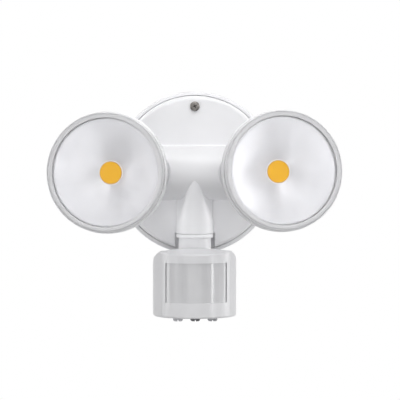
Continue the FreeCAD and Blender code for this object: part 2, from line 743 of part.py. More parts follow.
def arm():
    pin = at(0, ARM_LENGTH, 0)
    flange = rod(STUB_R, at(0, TURN_GAP, 0), at(0, ARM_FLANGE, 0))
    flange = round_edges(
        flange, ARM_EDGE_ROUND, lambda edge: is_circle(edge, STUB_R, at(0, TURN_GAP, 0)))
    taper = Part.makeCone(
        STUB_R, ARM_TAPER_R, ARM_TAPER_END - ARM_FLANGE, at(0, ARM_FLANGE, 0), FORWARD)
    root = rod(ARM_TAPER_R, at(0, ARM_TAPER_END - PAST, 0), at(0, ARM_LENGTH - EAR_R, 0))
    fork = join(
        block(-EAR_R, EAR_R, ARM_TAPER_END - ARM_FLANGE / 2, ARM_LENGTH, -FORK_HALF, FORK_HALF),
        rod(EAR_R, pin - UP * FORK_HALF, pin + UP * FORK_HALF))
    spigot = rod(ARM_SPIGOT_R, at(0, -ARM_SPIGOT_LENGTH, 0), at(0, TURN_GAP + PAST, 0))
    body = join(flange, taper, root, fork, spigot)
    slot_floor = ARM_LENGTH - LUG_R - LUG_TIP_GAP
    body = body.cut(block(-STUB_R, STUB_R, slot_floor, ARM_LENGTH + EAR_R + PAST, -FORK_GAP, FORK_GAP))
    body = body.cut(rod(HINGE_BOLT_R + SHAFT_CLEARANCE, pin - UP * STUB_R, pin + UP * STUB_R))
    body = body.cut(rod(ARM_WIRE_R, at(0, -ARM_SPIGOT_LENGTH - PAST, 0), at(0, slot_floor + PAST, 0)))
    half = ORING_THICK / 2
    return body.cut(tube(ORING_R + half, ORING_R - half, at(0, -PAST, 0), at(0, ORING_THICK, 0)).common(flange))


def arm_oring():
    half = ORING_THICK / 2 - THREAD_GAP
    return tube(ORING_R + half, ORING_R - half, at(0, THREAD_GAP, 0), at(0, ORING_THICK - THREAD_GAP, 0))


def arm_nut():
    """Slotted ring nut on the spigot, inside the bridge."""
    front = -STUB_WALL - THREAD_GAP
    rear = front - ARM_NUT_THICK
    outer = ARM_SPIGOT_R + ARM_NUT_WIDTH
    nut = tube(outer, ARM_SPIGOT_R + THREAD_GAP, at(0, rear, 0), at(0, front, 0))
    for x, z in around(ARM_NUT_NOTCHES, outer):
        nut = nut.cut(rod(ARM_NUT_NOTCH_R, at(x, rear - PAST, z), at(x, front + PAST, z)))
    return nut


def hinge_bolt():
    top = at(0, ARM_LENGTH, FORK_HALF)
    bottom = at(0, ARM_LENGTH, -FORK_HALF - HINGE_NUT_HEIGHT - HINGE_BOLT_TIP)
    crown = top + UP * HINGE_HEAD_HEIGHT
    head_r = HINGE_BOLT_R + HINGE_HEAD_LIP
    head = rod(head_r, top, crown)
    head = round_edges(head, HEAD_EDGE_ROUND, lambda edge: is_circle(edge, head_r, crown, UP))
    socket = hexagon(HINGE_SOCKET_R, crown - UP * HINGE_SOCKET_DEPTH, crown + UP)
    return join(head, rod(HINGE_BOLT_R, bottom, top + UP)).cut(socket)


def hinge_nut():
    top = at(0, ARM_LENGTH, -FORK_HALF)
    bottom = top - UP * HINGE_NUT_HEIGHT
    nut = hexagon(HINGE_BOLT_R + HINGE_NUT_LIP, bottom, top)
    return nut.cut(rod(HINGE_BOLT_R + THREAD_GAP, bottom - UP, top + UP))


# ======== lamp head.  Modelled facing straight forward with the hinge pin at the origin.

def behind_rim(from_rim):
    """Depth, counted from the hinge pin, of a place measured back from the lens rim."""
    return HEAD_REACH - from_rim


def head_turned(outline):
    return turned([(radius, behind_rim(from_rim)) for radius, from_rim in outline])


def head_rod(radius, front, rear, x=0.0, z=0.0):
    return rod(radius, at(x, behind_rim(rear), z), at(x, behind_rim(front), z))


def cooling_fin(angle):
    root = HUB_R - PAST
    tip = HEAD_R - FIN_INSET
    inside = HEAD_FLOOR_BACK - PAST
    corners = [
        at(root, behind_rim(inside), 0), at(HEAD_BACK_R - PAST, behind_rim(inside), 0),
        at(tip, behind_rim(HEAD_FLOOR_BACK - HEAD_BACK_RISE), 0),
        at(tip, behind_rim(HEAD_FLOOR_BACK + FIN_OUTER_STEP), 0),
        at(root, behind_rim(HUB_END - FIN_INNER_STEP), 0)]
    fin = prism([corner - UP * FIN_THICK / 2 for corner in corners], UP * FIN_THICK)
    fin.rotate(Vector(), FORWARD, angle)
    return fin


def fin_angles():
    step = 360.0 / FIN_COUNT
    return [step * (index + 0.5) for index in range(FIN_COUNT)]


def gasket_place():
    return (HEAD_FRONT + HEAD_SHOULDER) / 2


def grommet_x():
    return COB_BOARD_R + HEAD_GROMMET_GAP + HEAD_GROMMET_R


def cob_screw_places():
    return around(2, COB_BOARD_R - COB_SCREW_INSET, 45.0)


def head_housing():
    bowl_r = HEAD_BACK_R - HEAD_WALL
    shell = head_turned([
        (HEAD_SPIGOT_R, HEAD_FRONT), (HEAD_SPIGOT_R, HEAD_SHOULDER), (HEAD_R, HEAD_SHOULDER),
        (HEAD_R, HEAD_BAND_END), (HEAD_R - HEAD_WALL, HEAD_FLOOR_BACK - HEAD_BACK_RISE),
        (HEAD_BACK_R, HEAD_FLOOR_BACK), (0, HEAD_FLOOR_BACK), (0, HEAD_FLOOR_FRONT),
        (bowl_r, HEAD_FLOOR_FRONT), (HEAD_BORE_R, HEAD_BAND_END), (HEAD_BORE_R, HEAD_FRONT)])
    shoulder = at(0, behind_rim(HEAD_SHOULDER), 0)
    shell = round_edges(shell, HEAD_EDGE_ROUND, lambda edge: is_circle(edge, HEAD_R, shoulder))
    hub = head_rod(HUB_R, HEAD_FLOOR_BACK - PAST, HUB_END)
    lug = join(
        block(-LUG_R, LUG_R, 0, behind_rim(HEAD_FLOOR_BACK), -LUG_THICK / 2, LUG_THICK / 2),
        rod(LUG_R, -UP * (LUG_THICK / 2), UP * (LUG_THICK / 2)))
    body = join(shell, hub, lug, *[cooling_fin(angle) for angle in fin_angles()])
    body = body.cut(rod(HINGE_BOLT_R + SHAFT_CLEARANCE, -UP * LUG_THICK, UP * LUG_THICK))
    half = LENS_GASKET_WIDTH / 2 + THREAD_GAP
    front = gasket_place() - half
    rear = gasket_place() + half
    groove = head_rod(HEAD_R, front, rear).cut(head_rod(HEAD_SPIGOT_R - LENS_GASKET_THICK, front, rear))
    body = body.cut(groove)
    for x, z in cob_screw_places():
        body = body.cut(head_rod(
            COB_SCREW_R + THREAD_GAP, HEAD_FLOOR_FRONT - PAST, HEAD_FLOOR_BACK - COB_SCREW_FLOOR, x, z))
    return body.cut(head_rod(HEAD_GROMMET_R, HEAD_FLOOR_FRONT - PAST, HEAD_REACH, grommet_x()))


def head_grommet():
    """Rubber bush in the head's back, between two fins, for the wires from the arm."""
    rear = HEAD_FLOOR_BACK + HEAD_GROMMET_PROUD
    outside = head_rod(HEAD_GROMMET_R - THREAD_GAP, HEAD_FLOOR_FRONT, rear, grommet_x())
    return outside.cut(head_rod(HEAD_GROMMET_BORE_R, HEAD_FRONT, HEAD_REACH, grommet_x()))


def lens():
    """Clear cap: a flat face inside a raised rim, with a skirt over the housing."""
    inner = HEAD_SPIGOT_R + LENS_FIT
    rim_r = LENS_R - LENS_RIM_WIDTH
    skirt_end = HEAD_SHOULDER - LENS_SKIRT_GAP
    body = head_turned([
        (0, LENS_FACE), (rim_r, LENS_FACE), (rim_r, 0), (LENS_R, 0),
        (LENS_R, skirt_end), (inner, skirt_end), (inner, LENS_BACK), (0, LENS_BACK)])
    front = at(0, behind_rim(0), 0)
    body = round_edges(body, LENS_EDGE_ROUND, lambda edge: is_circle(edge, LENS_R, front))
    return round_edges(body, LENS_RIM_ROUND, lambda edge: is_circle(edge, rim_r, front))


def lens_gasket():
    front = gasket_place() - LENS_GASKET_WIDTH / 2
    rear = gasket_place() + LENS_GASKET_WIDTH / 2
    inside = head_rod(HEAD_SPIGOT_R - LENS_GASKET_THICK + THREAD_GAP, front, rear)
    return head_rod(HEAD_SPIGOT_R + LENS_FIT - THREAD_GAP, front, rear).cut(inside)


def reflector():
    """Cone from the lens down to the emitter; a skirt behind its lip ends in a foot that fits the bore."""
    front = LENS_BACK + THREAD_GAP
    rear = COB_FRONT - THREAD_GAP
    mouth_r = COB_R + REFLECTOR_MOUTH_GAP
    skirt_r = HEAD_BORE_R - REFLECTOR_GROOVE
    lip_r = skirt_r - REFLECTOR_LIP
    skirt_inner_r = skirt_r - REFLECTOR_WALL
    foot = front + REFLECTOR_FOOT_DROP
    foot_end = foot + REFLECTOR_FOOT_THICK
    slope = (rear - front) / (lip_r - mouth_r)
    corner = front + (lip_r + REFLECTOR_WALL - skirt_inner_r) * slope
    foot_r = HEAD_BORE_R - THREAD_GAP
    return head_turned([
        (lip_r, front), (skirt_r, front), (skirt_r, foot), (foot_r, foot), (foot_r, foot_end),
        (skirt_inner_r, foot_end), (skirt_inner_r, corner), (mouth_r + REFLECTOR_WALL, rear), (mouth_r, rear)])


def cob_board():
    board = head_rod(COB_BOARD_R, COB_FRONT, HEAD_FLOOR_FRONT)
    for x, z in cob_screw_places():
        board = board.cut(head_rod(COB_SCREW_R + SCREW_CLEARANCE, HEAD_FRONT, HEAD_REACH, x, z))
    return board


def cob_emitter():
    crown = at(0, behind_rim(COB_FRONT - COB_THICK), 0)
    disc = head_rod(COB_R, COB_FRONT - COB_THICK, COB_FRONT)
    return round_edges(disc, COB_THICK / 2, lambda edge: is_circle(edge, COB_R, crown))


def cob_screws():
    screws = []
    for x, z in cob_screw_places():
        screws.append(pan_head_screw(
            COB_SCREW_R, COB_SCREW_HEAD_R, COB_SCREW_HEAD_HEIGHT, at(x, behind_rim(COB_FRONT), z), FORWARD,
            COB_SCREW_LENGTH - COB_SCREW_FLOOR))
    return screws


# ======== sensor stem and case

def stem_axis(z):
    return at(0, NECK_AXIS_DEPTH, z)


def sensor_stem():
    """Collar under the neck, stem and ball end, with a hollow spigot up through the neck's floor."""
    top = NECK_BOTTOM_Z - STEM_FACE_GAP
    tip = top + STEM_SPIGOT_LENGTH
    flange = rod(STEM_FLANGE_R, stem_axis(top), stem_axis(top - STEM_FLANGE_HEIGHT))
    flange = round_edges(flange, STEM_FLANGE_ROUND, lambda edge: isinstance(edge.Curve, Part.Circle))
    body = join(
        flange, rod(STEM_R, stem_axis(top - PAST), stem_axis(TILT_Z)),
        Part.makeSphere(STEM_R, stem_axis(TILT_Z)),
        rod(STEM_SPIGOT_R, stem_axis(top - PAST), stem_axis(tip)))
    pin = stem_axis(TILT_Z)
    hinge = rod(TILT_BOLT_R + SHAFT_CLEARANCE, pin - RIGHT * STEM_R * 2, pin + RIGHT * STEM_R * 2)
    wire_floor = TILT_Z + TILT_BOLT_R + WIRE_FLOOR_RISE
    wires = rod(STEM_WIRE_R, stem_axis(wire_floor), stem_axis(tip + PAST))
    outlet_depth = NECK_AXIS_DEPTH - STEM_R / 2
    outlet = rod(
        WIRE_SLOT_HALF_WIDTH, at(0, outlet_depth, TILT_Z - STEM_R), at(0, outlet_depth, TILT_Z + STEM_R))
    return body.cut(hinge).cut(wires).cut(outlet)


def stem_nut():
    start = NECK_FLOOR_TOP_Z + THREAD_GAP
    return tube(STEM_NUT_R, STEM_SPIGOT_R + THREAD_GAP, stem_axis(start), stem_axis(start + STEM_NUT_THICK))


def case_outline(inset, z):
    """Plan of the case at height z: half-round front about the stem, straight sides, round rear corners."""
    radius = CASE_R - inset
    corner = CASE_CORNER_R - inset
    rear = CASE_BACK_DEPTH + inset
    near = corner * (1 - math.sqrt(0.5))
    middle = NECK_AXIS_DEPTH
    edges = [
        Part.Arc(at(-radius, middle, z), at(0, middle + radius, z), at(radius, middle, z)),
        Part.LineSegment(at(radius, middle, z), at(radius, rear + corner, z)),
        Part.Arc(
            at(radius, rear + corner, z), at(radius - near, rear + near, z), at(radius - corner, rear, z)),
        Part.LineSegment(at(radius - corner, rear, z), at(corner - radius, rear, z)),
        Part.Arc(
            at(corner - radius, rear, z), at(near - radius, rear + near, z), at(-radius, rear + corner, z)),
        Part.LineSegment(at(-radius, rear + corner, z), at(-radius, middle, z))]
    return Part.Face(Part.Wire([edge.toShape() for edge in edges]))


def roof_cylinder(slope, inset, toward):
    """Large cylinder whose crown is one fall of the roof; toward is 1 for the front fall, -1 for the rear."""
    angle = math.radians(slope)
    run = Vector(0, -math.cos(angle), -toward * math.sin(angle))
    normal = Vector(0, -toward * math.sin(angle), math.cos(angle))
    middle = at(0, CASE_RIDGE_DEPTH, CASE_RIDGE_Z - inset) - normal * CASE_CROWN_R
    return rod(CASE_CROWN_R, middle - run * CASE_CROWN_R, middle + run * CASE_CROWN_R)


def case_block(inset):
    """Case as one solid: the crowned roof falls to the front and to the rear from a ridge before the stem."""
    bottom = CASE_BOTTOM_Z + inset
    tall = case_outline(inset, bottom).extrude(UP * (CASE_HEIGHT - inset + PAST))
    front_fall = roof_cylinder(CASE_FRONT_SLOPE, inset, 1)
    rear_fall = roof_cylinder(CASE_BACK_SLOPE, inset, -1)
    return tall.common(front_fall).common(rear_fall)


def rounded_case():
    body = case_block(0)
    body = round_edges(body, CASE_RIDGE_ROUND, lambda edge: edge.BoundBox.ZMax > CASE_RIDGE_Z - NEAR)
    body = round_edges(body, CASE_BOTTOM_ROUND, lambda edge: edge.BoundBox.ZMax < CASE_BOTTOM_Z + NEAR)
    middle_z = (CASE_RIDGE_Z + CASE_BOTTOM_Z) / 2

    def on_roof_rim(edge):
        box = edge.BoundBox
        across_ridge = box.YMax < -NECK_AXIS_DEPTH - PAST and box.YLength < CASE_R / 2 < box.XLength
        return box.ZMin > middle_z and not across_ridge

    return round_edges(body, CASE_TOP_ROUND, on_roof_rim)


def slot_trough(grow):
    """Room for the stem's ball and its swing, open at the top and rear, or its lining when grown by a wall."""
    half = SLOT_HALF + grow
    pin = stem_axis(TILT_Z)
    above = NECK_BOTTOM_Z
    barrel = rod(half, pin - RIGHT * half, pin + RIGHT * half)
    front = NECK_AXIS_DEPTH + SLOT_REACH + grow
    well = block(-half, half, NECK_AXIS_DEPTH, front, TILT_Z, above)
    rear = block(-half, half, 0, NECK_AXIS_DEPTH, TILT_Z - half, above)
    return join(barrel, well, rear)


def front_zone(half_width, seat_gap=0.0):
    """Region of the case's round front wall between the cheeks."""
    low = CASE_BOTTOM_Z - PAST
    slab = tube(CASE_R + PAST, CASE_R - CASE_WALL - seat_gap, stem_axis(low), stem_axis(NECK_BOTTOM_Z))
    between = block(-half_width, half_width, NECK_AXIS_DEPTH, NECK_AXIS_DEPTH * 2, low, NECK_BOTTOM_Z)
    return slab.common(between)


def knob_places():
    return (-KNOB_SPACING, 0.0, KNOB_SPACING)


def case_screw_places():
    return (-CASE_SCREW_X, CASE_SCREW_X)


def board_ledge():
    """Rail on the right-hand inner wall that the control board rests on."""
    top = CONTROL_BOARD_Z - BOARD_THICK / 2
    inner = PIR_BOARD_HALF_WIDTH - LEDGE_WIDTH
    outer = CASE_R - CASE_WALL / 2
    return block(inner, outer, CONTROL_BOARD_BACK_DEPTH, NECK_AXIS_DEPTH, top - LEDGE_THICK, top)


def sensor_body():
    shell = rounded_case().cut(case_block(CASE_WALL))
    lining = case_block(LINING_INSET).common(slot_trough(SLOT_WALL))
    posts = []
    for x in case_screw_places():
        start = at(x, CASE_BACK_DEPTH + CASE_WALL / 2, CASE_SCREW_Z)
        posts.append(rod(CASE_SCREW_HEAD_R + CASE_POST_LIP, start, at(x, NECK_AXIS_DEPTH, CASE_SCREW_Z)))
    body = join(shell, lining, board_ledge(), mirrored(board_ledge()), *posts)
    body = body.cut(slot_trough(0)).cut(front_zone(FRAME_HALF_WIDTH + FRAME_GAP, THREAD_GAP))
    floor_low = CASE_BOTTOM_Z - PAST
    floor_high = CASE_BOTTOM_Z + CASE_WALL + PAST
    for x in knob_places():
        body = body.cut(rod(KNOB_R + KNOB_GAP, at(x, KNOB_DEPTH, floor_low), at(x, KNOB_DEPTH, floor_high)))
    pin = stem_axis(TILT_Z)
    reach = RIGHT * (SLOT_HALF + SLOT_WALL + PAST)
    body = body.cut(rod(TILT_BOLT_R + SHAFT_CLEARANCE, pin - reach, pin + reach))
    half = WIRE_SLOT_HALF_WIDTH
    lining_low = TILT_Z - SLOT_HALF - SLOT_WALL - PAST
    body = body.cut(block(-half, half, NECK_AXIS_DEPTH - STEM_R, NECK_AXIS_DEPTH, lining_low, TILT_Z))
    for x in case_screw_places():
        thread_end = at(x, NECK_AXIS_DEPTH - SLOT_WALL, CASE_SCREW_Z)
        body = body.cut(rod(CASE_SCREW_R + THREAD_GAP, at(x, 0, CASE_SCREW_Z), thread_end))
    return body


def window_block(margin, outer, inner):
    """Curved slab behind the window opening, grown by margin all round."""
    low = WINDOW_BOTTOM_Z - margin
    high = WINDOW_TOP_Z + margin
    half = WINDOW_HALF_WIDTH + margin
    slab = tube(outer, inner, stem_axis(low), stem_axis(high))
    return slab.common(block(-half, half, NECK_AXIS_DEPTH, NECK_AXIS_DEPTH * 2, low, high))


def sensor_front():
    blank = rounded_case().common(front_zone(FRAME_HALF_WIDTH))
    inner = CASE_R - CASE_WALL - PAST
    opening = window_block(0, CASE_R + PAST, inner)
    rebate = window_block(WINDOW_LIP, CASE_R - WINDOW_INSET, inner)
    return blank.cut(opening).cut(rebate)


def fresnel_lens():
    """Thin milky sheet bent round the frame's rebate."""
    outer = CASE_R - WINDOW_INSET - THREAD_GAP
    return window_block(WINDOW_LIP - THREAD_GAP, outer, outer - WINDOW_THICK)


def pir_board():
    low = CONTROL_BOARD_Z + BOARD_THICK / 2
    half = PIR_BOARD_HALF_WIDTH
    return block(-half, half, PIR_BOARD_DEPTH, PIR_BOARD_FRONT, low, low + PIR_BOARD_HEIGHT)


def pyro_sensor():
    """Metal can of the heat-sensing element, on a thin base flange."""
    base = at(0, PIR_BOARD_FRONT, PYRO_Z)
    flange = rod(PYRO_R + PYRO_FLANGE_LIP, base, base + FORWARD * PYRO_FLANGE_THICK)
    can = rod(PYRO_R, base, base + FORWARD * PYRO_LENGTH)
    front = PIR_BOARD_FRONT + PYRO_LENGTH
    half = PYRO_WINDOW / 2
    low = PYRO_Z - half
    window = block(-half, half, front - PYRO_FLANGE_THICK / 2, front + PAST, low, low + PYRO_WINDOW)
    return join(flange, can).cut(window)


def photocell():
    base = at(PHOTOCELL_X, PIR_BOARD_FRONT, PYRO_Z - PHOTOCELL_DROP)
    return rod(PHOTOCELL_R, base, base + FORWARD * PHOTOCELL_LENGTH)


def control_board():
    half = PIR_BOARD_HALF_WIDTH
    low = CONTROL_BOARD_Z - BOARD_THICK / 2
    return block(-half, half, CONTROL_BOARD_BACK_DEPTH, PIR_BOARD_FRONT, low, low + BOARD_THICK)


def trimmers():
    high = CONTROL_BOARD_Z - BOARD_THICK / 2
    low = high - TRIMMER_THICK
    half = TRIMMER_SIZE / 2
    bodies = []
    for x in knob_places():
        body = block(x - half, x + half, KNOB_DEPTH - half, KNOB_DEPTH + half, low, high)
        hole = rod(KNOB_SHAFT_R + SHAFT_CLEARANCE, at(x, KNOB_DEPTH, low - PAST), at(x, KNOB_DEPTH, high - PAST))
        bodies.append(body.cut(hole))
    return bodies


def adjusting_knob(x):
    """Small round knob with a screwdriver slot; its shaft turns the trimmer above it."""
    bottom = at(x, KNOB_DEPTH, CASE_BOTTOM_Z - KNOB_PROUD)
    top = at(x, KNOB_DEPTH, CASE_BOTTOM_Z + KNOB_INSIDE)
    body = rod(KNOB_R, bottom, top)
    rim = [edge for edge in body.Edges if is_circle(edge, KNOB_R, bottom, UP)]
    body = body.makeChamfer(KNOB_CHAMFER, rim)
    body = join(body, rod(KNOB_SHAFT_R, top - UP, top + UP * KNOB_SHAFT_LENGTH))
    half = KNOB_SLOT / 2
    across = KNOB_DEPTH - KNOB_R - PAST
    slot = block(
        x - half, x + half, across, KNOB_DEPTH + KNOB_R + PAST, bottom.z - PAST, bottom.z + KNOB_SLOT_DEPTH)
    return body.cut(slot)


def tilt_bolt():
    pin = stem_axis(TILT_Z)
    seat = pin + RIGHT * (SLOT_HALF + SLOT_WALL)
    start = pin - RIGHT * (SLOT_HALF + SLOT_WALL + TILT_NUT_HEIGHT + HINGE_BOLT_TIP)
    crown = seat + RIGHT * TILT_HEAD_HEIGHT
    head = rod(TILT_BOLT_R + TILT_HEAD_LIP, seat, crown)
    socket = hexagon(HINGE_SOCKET_R, crown - RIGHT * HINGE_SOCKET_DEPTH, crown + RIGHT)
    return join(head, rod(TILT_BOLT_R, start, seat + RIGHT)).cut(socket)


def tilt_nut():
    face = stem_axis(TILT_Z) - RIGHT * (SLOT_HALF + SLOT_WALL)
    rear = face - RIGHT * TILT_NUT_HEIGHT
    nut = hexagon(TILT_BOLT_R + TILT_HEAD_LIP, rear, face)
    return nut.cut(rod(TILT_BOLT_R + THREAD_GAP, rear - RIGHT, face + RIGHT))


def case_screws():
    screws = []
    for x in case_screw_places():
        screws.append(pan_head_screw(
            CASE_SCREW_R, CASE_SCREW_HEAD_R, CASE_SCREW_HEAD_HEIGHT, at(x, CASE_BACK_DEPTH, CASE_SCREW_Z),
            -FORWARD, CASE_SCREW_LENGTH))
    return screws


# ======== assembly

def on_right_stub(shape, rest_turn):
    """Moves an arm piece from the straight-forward pose onto the right-hand stub."""
    placed = shape.copy()
    placed.rotate(Vector(), FORWARD, -rest_turn)
    placed.rotate(Vector(), UP, STUB_TURN)
    placed.translate(at(SEAM_X, SEAM_DEPTH, 0))
    return placed


def on_right_pin(shape, rest_turn):
    """Moves a lamp-head piece from the straight-forward pose onto the right-hand arm's hinge pin."""
    placed = shape.copy()
    placed.rotate(Vector(), UP, HEAD_TURN - STUB_TURN)
    placed.translate(at(0, ARM_LENGTH, 0))
    return on_right_stub(placed, rest_turn)


def on_stem(shape):
    """Turns a sensor piece about the stem to where the sensor looks at rest."""
    placed = shape.copy()
    placed.rotate(stem_axis(0), UP, SENSOR_REST_TURN)
    return placed


def one_shape(pieces):
    if isinstance(pieces, list):
        return Part.makeCompound(pieces)
    return pieces


def save(name, pieces):
    shape = one_shape(pieces)
    for solid in shape.Solids:
        if not solid.isValid():
            raise ValueError(name + " holds a solid that isn't valid")
    one_shape([solid for solid in shape.Solids]).exportStep("parts/" + name + ".step")
    print(name, len(shape.Solids), [round(value, 1) for value in (
        shape.BoundBox.XLength, shape.BoundBox.YLength, shape.BoundBox.ZLength)])


BASE_PIECES = {
    "wall_plate": wall_plate, "wall_gasket": wall_gasket, "cover_gasket": cover_gasket,
    "cable_grommet": cable_grommet, "terminal_block": terminal_block, "terminal_screws": terminal_screws,
    "driver_board": driver_board, "driver_screws": driver_screws, "driver_transformer": driver_transformer,
    "driver_capacitors": driver_capacitors, "driver_relay": driver_relay,
    "front_cover": front_cover, "cover_screws": cover_screws}
ARM_PIECES = {
    "arm": arm, "arm_oring": arm_oring, "arm_nut": arm_nut,
    "hinge_bolt": hinge_bolt, "hinge_nut": hinge_nut}
HEAD_PIECES = {
    "head_housing": head_housing, "head_grommet": head_grommet, "lens": lens, "lens_gasket": lens_gasket,
    "reflector": reflector, "cob_board": cob_board, "cob_emitter": cob_emitter, "cob_screws": cob_screws}
SENSOR_PIECES = {
    "sensor_stem": sensor_stem, "stem_nut": stem_nut, "sensor_body": sensor_body,
    "sensor_front": sensor_front, "fresnel_lens": fresnel_lens, "pir_board": pir_board,
    "pyro_sensor": pyro_sensor, "photocell": photocell, "control_board": control_board,
    "trimmers": trimmers, "tilt_bolt": tilt_bolt, "tilt_nut": tilt_nut, "case_screws": case_screws}
KNOB_NAMES = ("sensitivity_knob", "time_knob", "light_level_knob")


def save_lamp(pieces, place):
    """Saves both lamps' copies of some pieces; the left lamp is the right one mirrored."""
    for name, make in pieces.items():
        shape = one_shape(make())
        save("right_" + name, place(shape, RIGHT_ARM_REST_TURN))
        save("left_" + name, mirrored(place(shape, LEFT_ARM_REST_TURN)))


def build():
    os.makedirs("parts", exist_ok=True)
    for name, make in BASE_PIECES.items():
        save(name, make())
    for name, make in SENSOR_PIECES.items():
        save(name, on_stem(one_shape(make())))
    for name, x in zip(KNOB_NAMES, knob_places()):
        save(name, on_stem(adjusting_knob(x)))
    save_lamp(ARM_PIECES, on_right_stub)
    save_lamp(HEAD_PIECES, on_right_pin)


build()
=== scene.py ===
import math

import bpy
from mathutils import Matrix, Vector


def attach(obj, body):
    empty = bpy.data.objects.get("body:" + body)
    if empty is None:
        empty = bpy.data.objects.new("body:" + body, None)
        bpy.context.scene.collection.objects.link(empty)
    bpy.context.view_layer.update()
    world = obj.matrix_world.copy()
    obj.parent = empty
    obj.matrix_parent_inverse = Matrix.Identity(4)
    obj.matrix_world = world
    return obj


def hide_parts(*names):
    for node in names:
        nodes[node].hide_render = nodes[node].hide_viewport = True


MM = 0.001

# ---- sizes of the light, in millimetres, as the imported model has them
COVER_DEPTH = 38.0
COVER_SCREW_CIRCLE = 54.9
COVER_SCREW_ANGLES = (90.0, 210.0, 330.0)
COVER_SCREW_CROSS_TURN = 27.0
COVER_SCREW_TIP = 4.0
SEAM_X = 34.813
SEAM_DEPTH = 54.102
STUB_TURN = 37.0
ARM_LENGTH = 42.6
RIGHT_ARM_TURN = 6.8
LEFT_ARM_TURN = 2.0
HEAD_TURN = 11.0
HEAD_REACH = 45.5
NECK_DEPTH = 50.0
SENSOR_TURN = 3.0
WINDOW_R = 33.15
WINDOW_HALF_WIDTH = 25.95
WINDOW_TOP = -71.35
WINDOW_BOTTOM = -105.45
WINDOW_SHEET = 0.6
WINDOW_SIDES = 144
WINDOW_FIELD = 12.9  # degrees from one lens field of the window to the next
WINDOW_LINE = 0.5
WINDOW_LINE_DEPTH = 0.06
WINDOW_BORDER = 0.7
WINDOW_LEVEL_LINES = (3.4, 5.0)  # above the window's foot
KNOB_DEPTH = 58.0
KNOB_SPACING = 14.1
KNOB_R = 4.0
KNOB_BOTTOM = -120.8
KNOB_TOP = -110.8
KNOB_CHAMFER = (0.8, 1.0)
KNOB_SHAFT_R = 1.5
KNOB_SHAFT_TOP = -107.8
KNOB_SLOT = (1.1, 12.0, 2.4)
KNURL_MARGIN = 0.12
KNURL_DEPTH = 0.18

# ---- how finely the hand-made pieces are turned
SIDES = 128
SCREW_SIDES = 64
KNOB_SIDES = 48
POLE = 0.002  # radius of a closed centre, in millimetres, before its corners are merged
NEAR = 0.01  # how close in millimetres a corner lies to the ring or line it belongs to

# ---- camera of the photograph
CAMERA_X = 4.3
CAMERA_DISTANCE = 1420.2
CAMERA_HEIGHT = 6.5
CAMERA_TILT = 1.2
CAMERA_LENS = 150.54

# ---- room round it: floor in metres, lamps aimed at one place in millimetres
ROOM_LIGHT = 0.15
FLOOR_SIZE = 6
FLOOR_HEIGHT = -1.3
FLOOR_LIFT = 0.55
LAMP_AIM = (0, -60, 0)

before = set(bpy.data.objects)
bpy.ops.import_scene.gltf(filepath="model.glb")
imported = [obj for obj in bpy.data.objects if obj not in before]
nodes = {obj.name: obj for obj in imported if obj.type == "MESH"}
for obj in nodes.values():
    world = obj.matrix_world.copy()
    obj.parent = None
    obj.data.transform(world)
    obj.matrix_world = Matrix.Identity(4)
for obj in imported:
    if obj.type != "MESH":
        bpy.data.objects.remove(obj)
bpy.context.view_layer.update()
bpy.context.scene.view_settings.view_transform = "Standard"


# ======== material making

def linear(hex_colour):
    """Colour for a shader from an sRGB hex value."""
    channels = []
    for start in (0, 2, 4):
        value = int(hex_colour[start:start + 2], 16) / 255
        channels.append(value / 12.92 if value <= 0.04045 else ((value + 0.055) / 1.055) ** 2.4)
    return (*channels, 1.0)


def add(tree, kind, inputs=None, **settings):
    """Adds a node with its settings; an input is a value, or a socket to link from."""
    made = tree.nodes.new(kind)
    for name, value in settings.items():
        setattr(made, name, value)
    for name, value in (inputs or {}).items():
        if isinstance(value, bpy.types.NodeSocket):
            tree.links.new(value, made.inputs[name])
        else:
            made.inputs[name].default_value = value
    return made


def start_finish(name, hex_colour, roughness, **sockets):
    """New material with its colour, roughness and other sockets set on the shader itself."""
    material = bpy.data.materials.new(name)
    material.use_nodes = True
    tree = material.node_tree
    shader = tree.nodes["Principled BSDF"]
    shader.inputs["Base Color"].default_value = linear(hex_colour)
    shader.inputs["Roughness"].default_value = roughness
    for socket, value in sockets.items():
        shader.inputs[socket.replace("_", " ")].default_value = value
    place = add(tree, "ShaderNodeTexCoord").outputs["Object"]
    return material, tree, shader, place


def raise_grain(tree, shader, place, grain, height):
    """Fine relief: grain across and height deep, both in millimetres."""
    noise = add(tree, "ShaderNodeTexNoise", {
        "Vector": place, "Scale": 1 / (grain * MM), "Detail": 2.0})
    bump = add(tree, "ShaderNodeBump", {
        "Height": noise.outputs["Fac"], "Strength": 1.0, "Distance": height * MM})
    tree.links.new(bump.outputs["Normal"], shader.inputs["Normal"])


def vary_polish(tree, shader, place, low, high, patch):
    """Roughness that drifts between low and high over patches of this many millimetres."""
    noise = add(tree, "ShaderNodeTexNoise", {
        "Vector": place, "Scale": 1 / (patch * MM), "Detail": 3.0})
    drift = add(tree, "ShaderNodeMapRange", {
        "Value": noise.outputs["Fac"], "From Min": 0.3, "From Max": 0.7,
        "To Min": low, "To Max": high})
    tree.links.new(drift.outputs["Result"], shader.inputs["Roughness"])


def vary_tone(tree, shader, place, first, second, patch, detail=3.0):
    """Colour that drifts between two hex values over patches of this many millimetres."""
    noise = add(tree, "ShaderNodeTexNoise", {
        "Vector": place, "Scale": 1 / (patch * MM), "Detail": detail})
    drift = add(tree, "ShaderNodeMapRange", {
        "Value": noise.outputs["Fac"], "From Min": 0.3, "From Max": 0.7})
    mix = add(tree, "ShaderNodeMix", {
        "Factor": drift.outputs["Result"], 6: linear(first), 7: linear(second)}, data_type="RGBA")
    tree.links.new(mix.outputs[2], shader.inputs["Base Color"])


